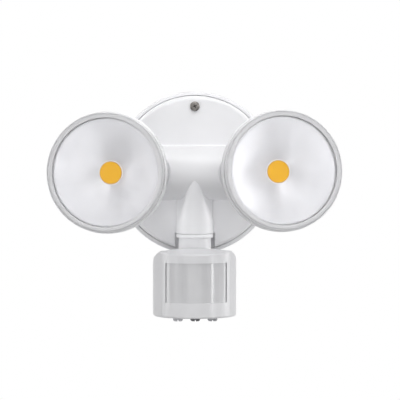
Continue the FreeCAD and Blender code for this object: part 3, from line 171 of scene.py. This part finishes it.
def white_abs_spark_texture():
    """ABS moulding with a fine spark-eroded texture: soft, broad highlights on a cool white."""
    material, tree, shader, place = start_finish("white_abs_spark_texture", "EDEDEF", 0.42, IOR=1.54)
    vary_tone(tree, shader, place, "EBEBED", "EFEFF1", 40)
    vary_polish(tree, shader, place, 0.38, 0.46, 6)
    raise_grain(tree, shader, place, 0.5, 0.012)
    return material


def white_abs_satin_painted_shade():
    """ABS of the sensor case, smoother than the cover: a tighter sheen on its edges. Its greyer white is
    painted shade for the weaker light low on the sensor.
    """
    # greyer base and tones: painted shade, darker than the cover's white
    material, tree, shader, place = start_finish("white_abs_satin_painted_shade", "DDDDDF", 0.34, IOR=1.54)
    vary_tone(tree, shader, place, "DBDBDD", "DFDFE1", 25)
    vary_polish(tree, shader, place, 0.30, 0.38, 5)
    raise_grain(tree, shader, place, 0.4, 0.006)
    return material


def white_powder_coat():
    """Die-cast aluminium under white powder coat: faint orange peel about a millimetre across."""
    material, tree, shader, place = start_finish("white_powder_coat", "EDEDEF", 0.36, IOR=1.5)
    vary_tone(tree, shader, place, "EBEBED", "F0F0F2", 30)
    vary_polish(tree, shader, place, 0.32, 0.40, 4)
    raise_grain(tree, shader, place, 1.1, 0.010)
    return material


def clear_polycarbonate():
    """Polished clear polycarbonate, barely blue: shows the reflector through it with a thin gloss.

    Its index is lower than the real 1.59, which would mirror this all-white room as a grey veil.
    """
    material, tree, shader, place = start_finish(
        "clear_polycarbonate_polished", "FDFDFE", 0.02, IOR=1.38, Transmission_Weight=1.0,
        Specular_IOR_Level=0.12)
    vary_polish(tree, shader, place, 0.015, 0.03, 20)
    return material


def frosted_polycarbonate():
    """The same polycarbonate where the mould is blasted, round the rim: light grey and cloudy."""
    material, tree, shader, place = start_finish(
        "clear_polycarbonate_frosted", "E3E3E5", 0.34, IOR=1.586, Transmission_Weight=0.2)
    vary_tone(tree, shader, place, "E0E0E2", "E6E6E8", 12)
    vary_polish(tree, shader, place, 0.30, 0.38, 3)
    return material


def satin_metallised():
    """Vacuum-metallised plastic with a satin base: soft conical streaks of light, nearly white."""
    material, tree, shader, place = start_finish("satin_vacuum_metal", "D9D9DB", 0.5, Metallic=1.0)
    vary_tone(tree, shader, place, "D7D7D9", "DCDCDE", 15)
    vary_polish(tree, shader, place, 0.49, 0.53, 12)
    return material


def yellow_phosphor():
    """Silicone gel filled with yellow phosphor, orange yellow; a faint painted glow from its emission
    brightens it.

    The rows of dies below it show as faint darker dots.
    """
    material, tree, shader, place = start_finish(
        "yellow_phosphor_gel", "E6AA00", 0.4, IOR=1.41, Specular_IOR_Level=0.06)
    # painted glow: a faint orange emission that shines under any light
    shader.inputs["Emission Color"].default_value = linear("FFB020")
    shader.inputs["Emission Strength"].default_value = 0.06
    cells = add(tree, "ShaderNodeTexVoronoi", {
        "Vector": place, "Scale": 1 / (1.5 * MM), "Randomness": 0.15}, feature="F1")
    dots = add(tree, "ShaderNodeMapRange", {
        "Value": cells.outputs["Distance"], "From Min": 0.15, "From Max": 0.45})
    mix = add(tree, "ShaderNodeMix", {
        "Factor": dots.outputs["Result"], 6: linear("E3A600"), 7: linear("E9AF05")}, data_type="RGBA")
    tree.links.new(mix.outputs[2], shader.inputs["Base Color"])
    raise_grain(tree, shader, place, 0.8, 0.004)
    return material


def silicone_dam_painted_shade():
    """Silicone ring that holds the gel in; its ochre is painted shade, which makes the rim of the yellow
    disc look browner.
    """
    material, tree, shader, place = start_finish(
        "phosphor_silicone_dam", "C28A36", 0.4, IOR=1.41, Specular_IOR_Level=0.2)
    vary_tone(tree, shader, place, "B98131", "CA923C", 2)
    raise_grain(tree, shader, place, 0.5, 0.006)
    return material


def milky_polyethylene():
    """Milky polyethylene sheet of the sensor window: lets heat through and blurs what is behind it."""
    material, tree, shader, place = start_finish("milky_polyethylene", "CDCDCF", 0.15, IOR=1.5)
    vary_tone(tree, shader, place, "CBCBCD", "CFCFD1", 14, 1.0)
    vary_polish(tree, shader, place, 0.13, 0.17, 8)
    return material


def zinc_plated_steel():
    """Bright zinc plate on steel: grey metal with a slightly clouded sheen."""
    material, tree, shader, place = start_finish("zinc_plated_steel", "6C6966", 0.42, Metallic=1.0)
    vary_tone(tree, shader, place, "63605D", "7A7774", 1.5)
    vary_polish(tree, shader, place, 0.36, 0.5, 1.2)
    raise_grain(tree, shader, place, 0.4, 0.004)
    return material


def painted_shade_recess():
    """The cross recess of a screw, painted brown-grey and dull: painted shade for the dark inside the deep
    cross.
    """
    material, tree, shader, place = start_finish("zinc_steel_recess_painted_shade", "3A3531", 0.6, IOR=1.5)
    vary_tone(tree, shader, place, "2C2825", "463F3A", 0.8)
    raise_grain(tree, shader, place, 0.4, 0.006)
    return material


def black_rubber():
    """Moulded black rubber with a faint bloom: dull dark grey edges round the white pieces."""
    material, tree, shader, place = start_finish("black_epdm_rubber", "1C1C1D", 0.72, IOR=1.52)
    vary_tone(tree, shader, place, "181819", "262627", 5)
    vary_polish(tree, shader, place, 0.62, 0.80, 3)
    raise_grain(tree, shader, place, 0.6, 0.015)
    return material


def moulded_plastic(name, first, second, roughness):
    """Small moulding in one tone of plastic: slightly uneven in colour and sheen, so no flat patch shows."""
    material, tree, shader, place = start_finish(name, first, roughness, IOR=1.5)
    vary_tone(tree, shader, place, first, second, 4)
    vary_polish(tree, shader, place, roughness - 0.05, roughness + 0.06, 3)
    raise_grain(tree, shader, place, 0.5, 0.008)
    return material


def plain_metal(name, first, second, roughness, patch):
    """Small bare metal part: a clouded mirror, lighter and darker over patches of this size."""
    material, tree, shader, place = start_finish(name, first, roughness, Metallic=1.0)
    vary_tone(tree, shader, place, first, second, patch)
    vary_polish(tree, shader, place, roughness - 0.06, roughness + 0.08, patch)
    raise_grain(tree, shader, place, 0.4, 0.004)
    return material


def green_board():
    """Glass-epoxy circuit board: green lacquer, copper tracks 1.5 mm apart show as lighter bands."""
    material, tree, shader, place = start_finish("glass_epoxy_board", "1E5A38", 0.35, IOR=1.55)
    tracks = add(tree, "ShaderNodeTexBrick", {
        "Vector": place, "Color1": linear("2C6E47"), "Color2": linear("276642"),
        "Mortar": linear("174A2D"), "Scale": 1 / (3.0 * MM), "Mortar Size": 0.08,
        "Mortar Smooth": 0.3, "Brick Width": 2.2, "Row Height": 0.5})
    tree.links.new(tracks.outputs["Color"], shader.inputs["Base Color"])
    bump = add(tree, "ShaderNodeBump", {
        "Height": tracks.outputs["Fac"], "Strength": 1.0, "Distance": -0.03 * MM})
    tree.links.new(bump.outputs["Normal"], shader.inputs["Normal"])
    return material


def ferrite_and_tape():
    """Wound transformer: bands of amber tape round a dark core, a band every 4 mm."""
    material, tree, shader, place = start_finish("ferrite_and_amber_tape", "3A352C", 0.5, IOR=1.5)
    bands = add(tree, "ShaderNodeTexWave", {
        "Vector": place, "Scale": 1 / (4.0 * MM) / 6.28, "Distortion": 0.6,
        "Detail": 1.0}, wave_type="BANDS", bands_direction="Z")
    mix = add(tree, "ShaderNodeMix", {
        "Factor": bands.outputs["Fac"], 6: linear("2E2B27"), 7: linear("9A7A32")}, data_type="RGBA")
    tree.links.new(mix.outputs[2], shader.inputs["Base Color"])
    raise_grain(tree, shader, place, 0.8, 0.02)
    return material


WHITE_COVER = white_abs_spark_texture()
WHITE_CASE_PAINTED_SHADE = white_abs_satin_painted_shade()
POWDER_COAT = white_powder_coat()
CLEAR = clear_polycarbonate()
FROSTED = frosted_polycarbonate()
SATIN_METAL = satin_metallised()
PHOSPHOR = yellow_phosphor()
DAM_PAINTED_SHADE = silicone_dam_painted_shade()
MILKY = milky_polyethylene()
ZINC = zinc_plated_steel()
RECESS_PAINTED_SHADE = painted_shade_recess()
RUBBER = black_rubber()
BOARD = green_board()
WOUND = ferrite_and_tape()

# the three setting knobs: soft sheen, and three greys that tell them apart from below
LIGHT_KNOB = moulded_plastic("light_grey_acetal", "C9C9CD", "D4D4D8", 0.36)
MID_KNOB = moulded_plastic("mid_grey_acetal", "A6A6AB", "B2B2B7", 0.36)
DARK_KNOB = moulded_plastic("dark_grey_acetal", "58585C", "636368", 0.36)
# ring nut in the neck: duller and greyer than the case, plainly another material
NUT_PLASTIC = moulded_plastic("grey_nylon", "A4A5A8", "AEAFB2", 0.45)
# relay: smooth blue-grey block on the green board
RELAY_CASE = moulded_plastic("grey_relay_case", "8E9196", "989BA0", 0.38)
# terminals: the faint yellow of undyed nylon
TERMINAL = moulded_plastic("natural_nylon", "D6D3C6", "DEDBCF", 0.42)
# capacitor sleeve: near black and glossy, tight over the can
SLEEVE = moulded_plastic("black_shrunk_sleeve", "16171E", "22232B", 0.25)
# trimmers: the one strong blue inside the sensor
TRIMMER_BLUE = moulded_plastic("blue_trimmer_case", "1F4FA0", "2659AE", 0.30)
# photocell: warm, wet-looking cast resin
LDR_RESIN = moulded_plastic("amber_cast_resin", "B0703E", "C08048", 0.12)
# terminal screws: pale yellow metal with a soft mirror
BRASS = plain_metal("nickel_plated_brass", "C9B68A", "D2C29A", 0.30, 1.5)
# pyro sensor's can: silver, a shade warm
NICKEL = plain_metal("nickel_plated_can", "B9B8B2", "C4C3BD", 0.28, 2)
# reflector's rim, left bare of metal: a matt white ring round the satin cone
BARE_RIM = moulded_plastic("white_reflector_rim", "F0F0F1", "F4F4F5", 0.45)
# LED board: flat, slightly glossy white round the yellow disc
BOARD_WHITE = moulded_plastic("white_lacquered_aluminium", "E8E8E8", "EFEFEF", 0.35)

# finish of each node, for the right and left lamp alike
NODE_FINISHES = {
    "wall_plate": WHITE_COVER, "front_cover": WHITE_COVER, "wall_gasket": RUBBER,
    "cover_gasket": RUBBER, "cable_grommet": RUBBER, "terminal_block": TERMINAL,
    "terminal_screws": BRASS, "driver_board": BOARD, "driver_screws": ZINC,
    "driver_transformer": WOUND, "driver_capacitors": SLEEVE, "driver_relay": RELAY_CASE,
    "cover_screws": ZINC,
    "arm": POWDER_COAT, "arm_oring": RUBBER, "arm_nut": ZINC, "hinge_bolt": ZINC,
    "hinge_nut": ZINC, "head_housing": POWDER_COAT, "head_grommet": RUBBER, "lens": CLEAR,
    "lens_gasket": RUBBER, "reflector": SATIN_METAL, "cob_board": BOARD_WHITE,
    "cob_emitter": PHOSPHOR, "cob_screws": ZINC,
    "sensor_stem": WHITE_COVER, "stem_nut": NUT_PLASTIC, "sensor_body": WHITE_CASE_PAINTED_SHADE,
    "sensor_front": WHITE_CASE_PAINTED_SHADE, "fresnel_lens": MILKY, "pir_board": BOARD,
    "pyro_sensor": NICKEL, "photocell": LDR_RESIN, "control_board": BOARD,
    "trimmers": TRIMMER_BLUE, "tilt_bolt": ZINC, "tilt_nut": ZINC, "case_screws": ZINC,
    "sensitivity_knob": LIGHT_KNOB, "time_knob": DARK_KNOB, "light_level_knob": MID_KNOB}

for node_name, node in nodes.items():
    plain_name = node_name.removeprefix("right_").removeprefix("left_")
    for slot in node.material_slots:
        slot.material = NODE_FINISHES[plain_name]


# ======== modelling by hand

def deselect():
    bpy.ops.object.select_all(action="DESELECT")


def pick(*pieces):
    deselect()
    for piece in pieces:
        piece.select_set(True)
    bpy.context.view_layer.objects.active = pieces[0]


def turned(name, outline, sides=SIDES, closed=False):
    """Turned piece: a circle at the first (radius, height) corner, extruded on to each next one."""
    deselect()
    radius, height = outline[0]
    bpy.ops.mesh.primitive_circle_add(
        vertices=sides, radius=radius * MM, location=(0, 0, height * MM))
    piece = bpy.context.object
    piece.name = name
    piece.data.name = name
    bpy.ops.object.transform_apply(location=True, rotation=True, scale=True)
    bpy.ops.object.mode_set(mode="EDIT")
    bpy.ops.mesh.select_mode(type="VERT")
    bpy.ops.mesh.select_all(action="SELECT")
    for next_radius, next_height in outline[1:] + (outline[:1] if closed else []):
        bpy.ops.mesh.extrude_region_move(
            TRANSFORM_OT_translate={"value": (0, 0, (next_height - height) * MM)})
        spread = next_radius / radius
        bpy.ops.transform.resize(
            value=(spread, spread, 1), center_override=(0, 0, next_height * MM))
        radius, height = next_radius, next_height
    bpy.ops.mesh.select_all(action="SELECT")
    bpy.ops.mesh.remove_doubles(threshold=POLE * 3 * MM)
    bpy.ops.mesh.normals_make_consistent(inside=False)
    bpy.ops.object.mode_set(mode="OBJECT")
    return piece


def choose(piece, wanted, kind="EDGE"):
    """Selects the edges or faces whose corners all lie where wanted says, and enters edit mode."""
    pick(piece)
    bpy.ops.object.mode_set(mode="EDIT")
    bpy.ops.mesh.select_mode(type=kind)
    bpy.ops.mesh.select_all(action="DESELECT")
    bpy.ops.object.mode_set(mode="OBJECT")
    mesh = piece.data
    inside = [wanted(corner.co / MM) for corner in mesh.vertices]
    for part in (mesh.edges if kind == "EDGE" else mesh.polygons):
        part.select = all(inside[index] for index in part.vertices)
    bpy.ops.object.mode_set(mode="EDIT")


def from_axis(spot):
    """Distance of a corner from the axis of its turned piece."""
    return math.hypot(spot.x, spot.y)


def on_ring(radius, height):
    """Test for the corners of one ring of a turned piece."""
    return lambda spot: abs(from_axis(spot) - radius) < NEAR and abs(spot.z - height) < NEAR


def round_ring(piece, radius, height, width, steps=4):
    """Rounds one turned edge over this width."""
    choose(piece, on_ring(radius, height))
    bpy.ops.mesh.bevel(offset=width * MM, offset_type="OFFSET", segments=steps, affect="EDGES")
    bpy.ops.object.mode_set(mode="OBJECT")


def paint(piece, material, wanted):
    """Gives the faces whose corners lie where wanted says a finish of their own."""
    piece.data.materials.append(material)
    choose(piece, wanted, "FACE")
    piece.active_material_index = len(piece.data.materials) - 1
    bpy.ops.object.material_slot_assign()
    bpy.ops.object.mode_set(mode="OBJECT")


def combine(piece, tool, operation):
    """Takes the tool's shape out of the piece, or joins it on, and throws the tool away."""
    pick(piece)
    boolean = piece.modifiers.new("combine", "BOOLEAN")
    boolean.operation = operation
    boolean.solver = "EXACT"
    boolean.object = tool
    bpy.ops.object.modifier_apply(modifier="combine")
    bpy.data.objects.remove(tool, do_unlink=True)


def block(size, height, turned_by=0):
    """Cube at this height on the axis, scaled to its three sizes and turned about the axis."""
    deselect()
    bpy.ops.mesh.primitive_cube_add(size=1, location=(0, 0, height * MM))
    made = bpy.context.object
    made.scale = Vector(size) * MM
    made.rotation_euler = (0, 0, math.radians(turned_by))
    bpy.ops.object.transform_apply(location=True, rotation=True, scale=True)
    return made


def copy_piece(piece, name):
    """Copy with a mesh of its own."""
    pick(piece)
    bpy.ops.object.duplicate()
    twin = bpy.context.object
    twin.name = name
    twin.data.name = name
    return twin


def settle(piece, where, body, replaced, smooth=32):
    """Puts a finished piece in its place in the light, and says what it rides on and stands for."""
    pick(piece)
    piece.matrix_world = where
    bpy.ops.object.transform_apply(location=True, rotation=True, scale=True)
    bpy.ops.object.mode_set(mode="EDIT")
    bpy.ops.mesh.select_all(action="SELECT")
    bpy.ops.mesh.normals_make_consistent(inside=False)
    bpy.ops.object.mode_set(mode="OBJECT")
    bpy.ops.object.shade_smooth_by_angle(angle=math.radians(smooth))
    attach(piece, body)
    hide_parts(replaced)


def shift(x, depth, z):
    return Matrix.Translation(Vector((x, -depth, z)) * MM)


def turn(degrees, axis):
    return Matrix.Rotation(math.radians(degrees), 4, axis)


UPRIGHT_TO_FORWARD = turn(90, "X")
MIRROR = Matrix.Diagonal((-1, 1, 1, 1))


def on_right_pin(rest_turn):
    """Place of a lamp-head piece, modelled with the hinge pin at the origin and its axis up."""
    return (shift(SEAM_X, SEAM_DEPTH, 0) @ turn(STUB_TURN, "Z") @ turn(rest_turn, "Y")
            @ shift(0, ARM_LENGTH, 0) @ turn(HEAD_TURN - STUB_TURN, "Z") @ UPRIGHT_TO_FORWARD)


RIGHT_HEAD = on_right_pin(RIGHT_ARM_TURN)
LEFT_HEAD = MIRROR @ on_right_pin(LEFT_ARM_TURN)
SENSOR = shift(0, NECK_DEPTH, 0) @ turn(SENSOR_TURN, "Z")


def behind_rim(from_rim):
    """Height above the hinge pin of a place measured back from the lens rim."""
    return HEAD_REACH - from_rim


def settle_pair(piece, name):
    """Puts a lamp-head piece on the right lamp and its mirrored copy on the left one."""
    twin = copy_piece(piece, "left_" + name + "_shell")
    settle(piece, RIGHT_HEAD, "right_head", "right_" + name)
    settle(twin, LEFT_HEAD, "left_head", "left_" + name)


# ---- clear cap over each lamp, with two fine steps in its rim; corners are radius and depth from the rim
def model_lens():
    outline = [(POLE, 2.9), (44.4, 2.9), (44.4, 6.0), (46.6, 6.0), (46.6, 0.3), (45.7, 0.3),
               (45.6, 0.9), (45.2, 0.9), (45.1, 0.1), (44.95, 0.0), (42.2, 0.0), (42.2, 1.4), (POLE, 1.4)]
    piece = turned("right_lens_shell", [(radius, behind_rim(back)) for radius, back in outline])
    round_ring(piece, 46.6, behind_rim(0.3), 0.8, 6)
    round_ring(piece, 42.2, behind_rim(0), 0.5)
    round_ring(piece, 46.6, behind_rim(6.0), 0.25, 2)
    piece.data.materials.append(CLEAR)
    paint(piece, FROSTED, lambda spot: from_axis(spot) > 42.1)
    settle_pair(piece, "lens")


# ---- satin cone with a white lip, a skirt and a foot
def model_reflector():
    outline = [(39.6, 2.95), (41.9, 2.95), (41.9, 3.75), (40.1, 3.75),
               (40.1, 7.95), (42.25, 7.95), (42.25, 8.95), (39.1, 8.95),
               (39.1, 3.79), (10.7, 20.05), (9.7, 20.05)]
    piece = turned("right_reflector_shell", [(radius, behind_rim(back)) for radius, back in outline],
                   closed=True)
    round_ring(piece, 41.9, behind_rim(2.95), 0.2, 3)
    piece.data.materials.append(SATIN_METAL)
    paint(piece, BARE_RIM, lambda spot: from_axis(spot) > 39.95)
    settle_pair(piece, "reflector")


# ---- light-emitting disc: gel inside a silicone dam
def model_emitter():
    outline = [(POLE, 20.1), (8.9, 20.1), (8.9, 19.72), (8.75, 19.62), (8.5, 19.66), (8.2, 19.74),
               (6.5, 19.7), (3.5, 19.66), (POLE, 19.64)]
    piece = turned("right_cob_emitter_shell", [(radius, behind_rim(back)) for radius, back in outline])
    piece.data.materials.append(PHOSPHOR)
    # outer rim of the disc gets the ochre painted shade
    paint(piece, DAM_PAINTED_SHADE, lambda spot: from_axis(spot) > 8.45)
    settle_pair(piece, "cob_emitter")


# ---- pan-head screws of the cover, with a cross recess
def cross_cutter(top):
    """Two crossed bars, 4.6 mm long and 1.1 mm wide, that narrow towards their lower ends."""
    bars = []
    for quarter in (0, 90):
        bar = block((4.6, 1.1, 3.4), top, quarter)
        choose(bar, lambda spot: spot.z < top, "FACE")
        bpy.ops.transform.resize(value=(0.45, 0.45, 1), center_override=(0, 0, top * MM))
        bpy.ops.object.mode_set(mode="OBJECT")
        bars.append(bar)
    combine(*bars, "UNION")
    return bars[0]


def model_cover_screws():
    head, crown = COVER_DEPTH, COVER_DEPTH + 2.5
    outline = [(POLE, COVER_SCREW_TIP), (1.3, COVER_SCREW_TIP), (1.95, COVER_SCREW_TIP + 1.0),
               (1.95, head), (4.0, head), (4.0, head + 1.0), (3.75, head + 1.75),
               (3.1, head + 2.2), (2.2, head + 2.42), (POLE, crown)]
    first = turned("cover_screw", outline, SCREW_SIDES)
    combine(first, cross_cutter(crown), "DIFFERENCE")
    first.data.materials.clear()
    first.data.materials.append(ZINC)
    # faces inside the cross recess get the dark brown-grey painted shade
    paint(first, RECESS_PAINTED_SHADE, lambda spot: from_axis(spot) < 2.45 and head < spot.z < crown - 0.13)
    screws = [first] + [copy_piece(first, "cover_screw_copy") for _ in COVER_SCREW_ANGLES[1:]]
    for screw, angle in zip(screws, COVER_SCREW_ANGLES):
        x = COVER_SCREW_CIRCLE * math.cos(math.radians(angle))
        z = COVER_SCREW_CIRCLE * math.sin(math.radians(angle))
        screw.name = "cover_screw_at_" + str(int(angle))
        where = shift(x, 0, z) @ UPRIGHT_TO_FORWARD @ turn(COVER_SCREW_CROSS_TURN, "Z")
        settle(screw, where, "base", "cover_screws", 30)


# ---- curved sensor window: upright lines where its lens fields meet, two level ones near its foot
def model_window():
    deselect()
    height = WINDOW_TOP - WINDOW_BOTTOM
    middle = (WINDOW_TOP + WINDOW_BOTTOM) / 2
    bpy.ops.mesh.primitive_cylinder_add(
        vertices=WINDOW_SIDES, radius=WINDOW_R * MM, depth=height * MM, end_fill_type="NOTHING",
        location=(0, 0, middle * MM))
    piece = bpy.context.object
    piece.name = "fresnel_sheet"
    piece.data.name = "fresnel_sheet"
    bpy.ops.object.transform_apply(location=True, rotation=True, scale=True)
    bpy.ops.object.mode_set(mode="EDIT")
    bpy.ops.mesh.select_mode(type="VERT")
    level_lines = [WINDOW_BOTTOM + above for above in WINDOW_LEVEL_LINES]
    upright_lines = [field * WINDOW_FIELD + WINDOW_FIELD / 2 for field in range(-4, 4)]
    planes = [((side * WINDOW_HALF_WIDTH, 0, 0), (side, 0, 0), True) for side in (-1, 1)]
    planes += [((0, 0, 0), (0, 1, 0), True)]
    inner_half = WINDOW_HALF_WIDTH - WINDOW_BORDER
    inner_top, inner_bottom = WINDOW_TOP - WINDOW_BORDER, WINDOW_BOTTOM + WINDOW_BORDER
    planes += [((side * inner_half, 0, 0), (1, 0, 0), False) for side in (-1, 1)]
    planes += [((0, 0, edge), (0, 0, 1), False) for edge in (inner_top, inner_bottom)]
    planes += [((0, 0, line + edge), (0, 0, 1), False)
               for line in level_lines for edge in (-WINDOW_LINE / 2, WINDOW_LINE / 2)]
    planes += [((0, 0, 0), (math.cos(angle), math.sin(angle), 0), False)
               for line in upright_lines
               for angle in (math.radians(line - WINDOW_LINE), math.radians(line + WINDOW_LINE))]
    for point, normal, cleared in planes:
        bpy.ops.mesh.select_all(action="SELECT")
        bpy.ops.mesh.bisect(
            plane_co=Vector(point) * MM, plane_no=normal, clear_outer=cleared, threshold=0.001 * MM)
    bpy.ops.object.mode_set(mode="OBJECT")

    def on_a_line(spot):
        if abs(spot.x) > inner_half + NEAR or not inner_bottom - NEAR < spot.z < inner_top + NEAR:
            return False
        turned_by = math.degrees(math.atan2(spot.x, -spot.y))
        return (any(abs(spot.z - line) < WINDOW_LINE / 2 + NEAR for line in level_lines)
                or any(abs(turned_by - line) < WINDOW_LINE + 2 * NEAR for line in upright_lines))

    choose(piece, on_a_line, "FACE")
    bpy.ops.mesh.extrude_region_shrink_fatten(
        TRANSFORM_OT_shrink_fatten={"value": -WINDOW_LINE_DEPTH * MM})
    bpy.ops.object.mode_set(mode="OBJECT")
    pick(piece)
    wall = piece.modifiers.new("wall", "SOLIDIFY")
    wall.thickness = WINDOW_SHEET * MM
    wall.offset = -1
    bpy.ops.object.modifier_apply(modifier="wall")
    piece.data.materials.append(MILKY)
    settle(piece, SENSOR, "sensor", "fresnel_lens", 30)


# ---- three setting knobs under the sensor
def model_knob(node_name, x, finish):
    """Knob with a knurled skirt, a chamfer and a screwdriver slot."""
    outline = [(POLE, KNOB_SHAFT_TOP), (KNOB_SHAFT_R, KNOB_SHAFT_TOP), (KNOB_SHAFT_R, KNOB_TOP),
               (KNOB_R, KNOB_TOP), (KNOB_R, KNOB_BOTTOM + KNOB_CHAMFER[1]),
               (KNOB_R - KNOB_CHAMFER[0], KNOB_BOTTOM), (POLE, KNOB_BOTTOM)]
    piece = turned(node_name + "_cap", outline, KNOB_SIDES)
    choose(piece, lambda spot: abs(from_axis(spot) - KNOB_R) < NEAR, "FACE")
    bpy.ops.mesh.inset(thickness=KNURL_MARGIN * MM, depth=-KNURL_DEPTH * MM, use_individual=True)
    bpy.ops.object.mode_set(mode="OBJECT")
    combine(piece, block(KNOB_SLOT, KNOB_BOTTOM), "DIFFERENCE")
    piece.data.materials.clear()
    piece.data.materials.append(finish)
    where = SENSOR @ shift(x, KNOB_DEPTH - NECK_DEPTH, 0)
    settle(piece, where, node_name, node_name, 25)


model_lens()
model_reflector()
model_emitter()
model_cover_screws()
model_window()
model_knob("sensitivity_knob", -KNOB_SPACING, LIGHT_KNOB)
model_knob("time_knob", 0, DARK_KNOB)
model_knob("light_level_knob", KNOB_SPACING, MID_KNOB)


# ======== studio

def make_camera():
    data = bpy.data.cameras.new("camera")
    data.lens = CAMERA_LENS
    camera = bpy.data.objects.new("camera", data)
    bpy.context.scene.collection.objects.link(camera)
    camera.location = Vector((CAMERA_X, -CAMERA_DISTANCE, CAMERA_HEIGHT)) * MM
    camera.rotation_euler = (math.radians(90 - CAMERA_TILT), 0, 0)
    bpy.context.scene.camera = camera


def make_world():
    """White where the camera, gloss and glass look at it; a level grey light for everything else."""
    world = bpy.data.worlds.new("studio_white")
    bpy.context.scene.world = world
    world.use_nodes = True
    tree = world.node_tree
    tree.nodes.clear()
    rays = add(tree, "ShaderNodeLightPath")
    seen = add(tree, "ShaderNodeMath", {
        0: rays.outputs["Is Camera Ray"], 1: rays.outputs["Is Glossy Ray"]}, operation="MAXIMUM")
    seen = add(tree, "ShaderNodeMath", {
        0: seen.outputs[0], 1: rays.outputs["Is Transmission Ray"]}, operation="MAXIMUM")
    strength = add(tree, "ShaderNodeMapRange", {
        "Value": seen.outputs[0], "To Min": ROOM_LIGHT, "To Max": 1.0})
    white = add(tree, "ShaderNodeBackground", {
        "Color": (1, 1, 1, 1), "Strength": strength.outputs["Result"]})
    add(tree, "ShaderNodeOutputWorld", {"Surface": white.outputs[0]})


def softbox(name, place, size, power):
    """Plain white area lamp of this size in metres, at a place in millimetres, facing the light."""
    data = bpy.data.lights.new(name, "AREA")
    data.shape = "RECTANGLE"
    data.size, data.size_y = size
    data.energy = power
    lamp = bpy.data.objects.new(name, data)
    bpy.context.scene.collection.objects.link(lamp)
    lamp.location = Vector(place) * MM
    lamp.rotation_euler = (Vector(LAMP_AIM) - Vector(place)).to_track_quat("-Z", "Y").to_euler()


def make_floor():
    """Pale matt floor well below the light; polished metal and glass see it as white as the rest.

    The lamps hardly reach it, so the camera sees it lifted to its pale grey, its shadow still there.
    """
    deselect()
    bpy.ops.mesh.primitive_plane_add(size=FLOOR_SIZE, location=(0, 0, FLOOR_HEIGHT))
    floor = bpy.context.object
    floor.name = "studio_floor"
    material, tree, shader, place = start_finish("matt_pale_floor", "F2F2F2", 0.9)
    vary_tone(tree, shader, place, "F0F0F0", "F4F4F4", 300)
    rays = add(tree, "ShaderNodeLightPath")
    lifted = add(tree, "ShaderNodeMath", {
        0: rays.outputs["Is Camera Ray"], 1: FLOOR_LIFT}, operation="MULTIPLY")
    shader.inputs["Emission Color"].default_value = linear("F6F6F6")
    tree.links.new(lifted.outputs[0], shader.inputs["Emission Strength"])
    mirrored = add(tree, "ShaderNodeMath", {
        0: rays.outputs["Is Glossy Ray"], 1: rays.outputs["Is Transmission Ray"]}, operation="MAXIMUM")
    white = add(tree, "ShaderNodeEmission", {"Color": (1, 1, 1, 1), "Strength": 1.0})
    mix = add(tree, "ShaderNodeMixShader", {
        0: mirrored.outputs[0], 1: shader.outputs["BSDF"], 2: white.outputs["Emission"]})
    tree.links.new(mix.outputs["Shader"], tree.nodes["Material Output"].inputs["Surface"])
    floor.data.materials.append(material)


make_camera()
make_world()
make_floor()

# from above: the bridge's top line, the cover's upper half and the sensor's roof
softbox("near_high", (0, -430, 480), (0.5, 0.3), 0.7)
softbox("overhead", (0, -400, 950), (0.8, 0.4), 4.3)
# from the front: level light on everything that faces the camera
softbox("front_high", (0, -1100, 500), (0.8, 0.6), 1.0)
softbox("front_level", (0, -1350, -60), (0.9, 0.4), 1.9)
softbox("front_low", (0, -1000, -500), (0.9, 0.4), 1.4)
# from the sides: the streaks in the reflectors, and the bright line on the sensor's window
softbox("side_left", (-800, -620, 100), (0.3, 0.9), 1.0)
softbox("side_right", (760, -670, 80), (0.11, 0.9), 2.6)
# along the wall: the light edges of the heads, the bridge and the sensor
softbox("grazing_left", (-950, -150, 100), (0.3, 0.8), 3.0)
softbox("grazing_right", (945, 90, 100), (0.3, 0.8), 3.5)
# from behind: the backs of the plate, the heads and the sensor
softbox("behind", (0, 1000, 450), (1.0, 0.6), 3.4)
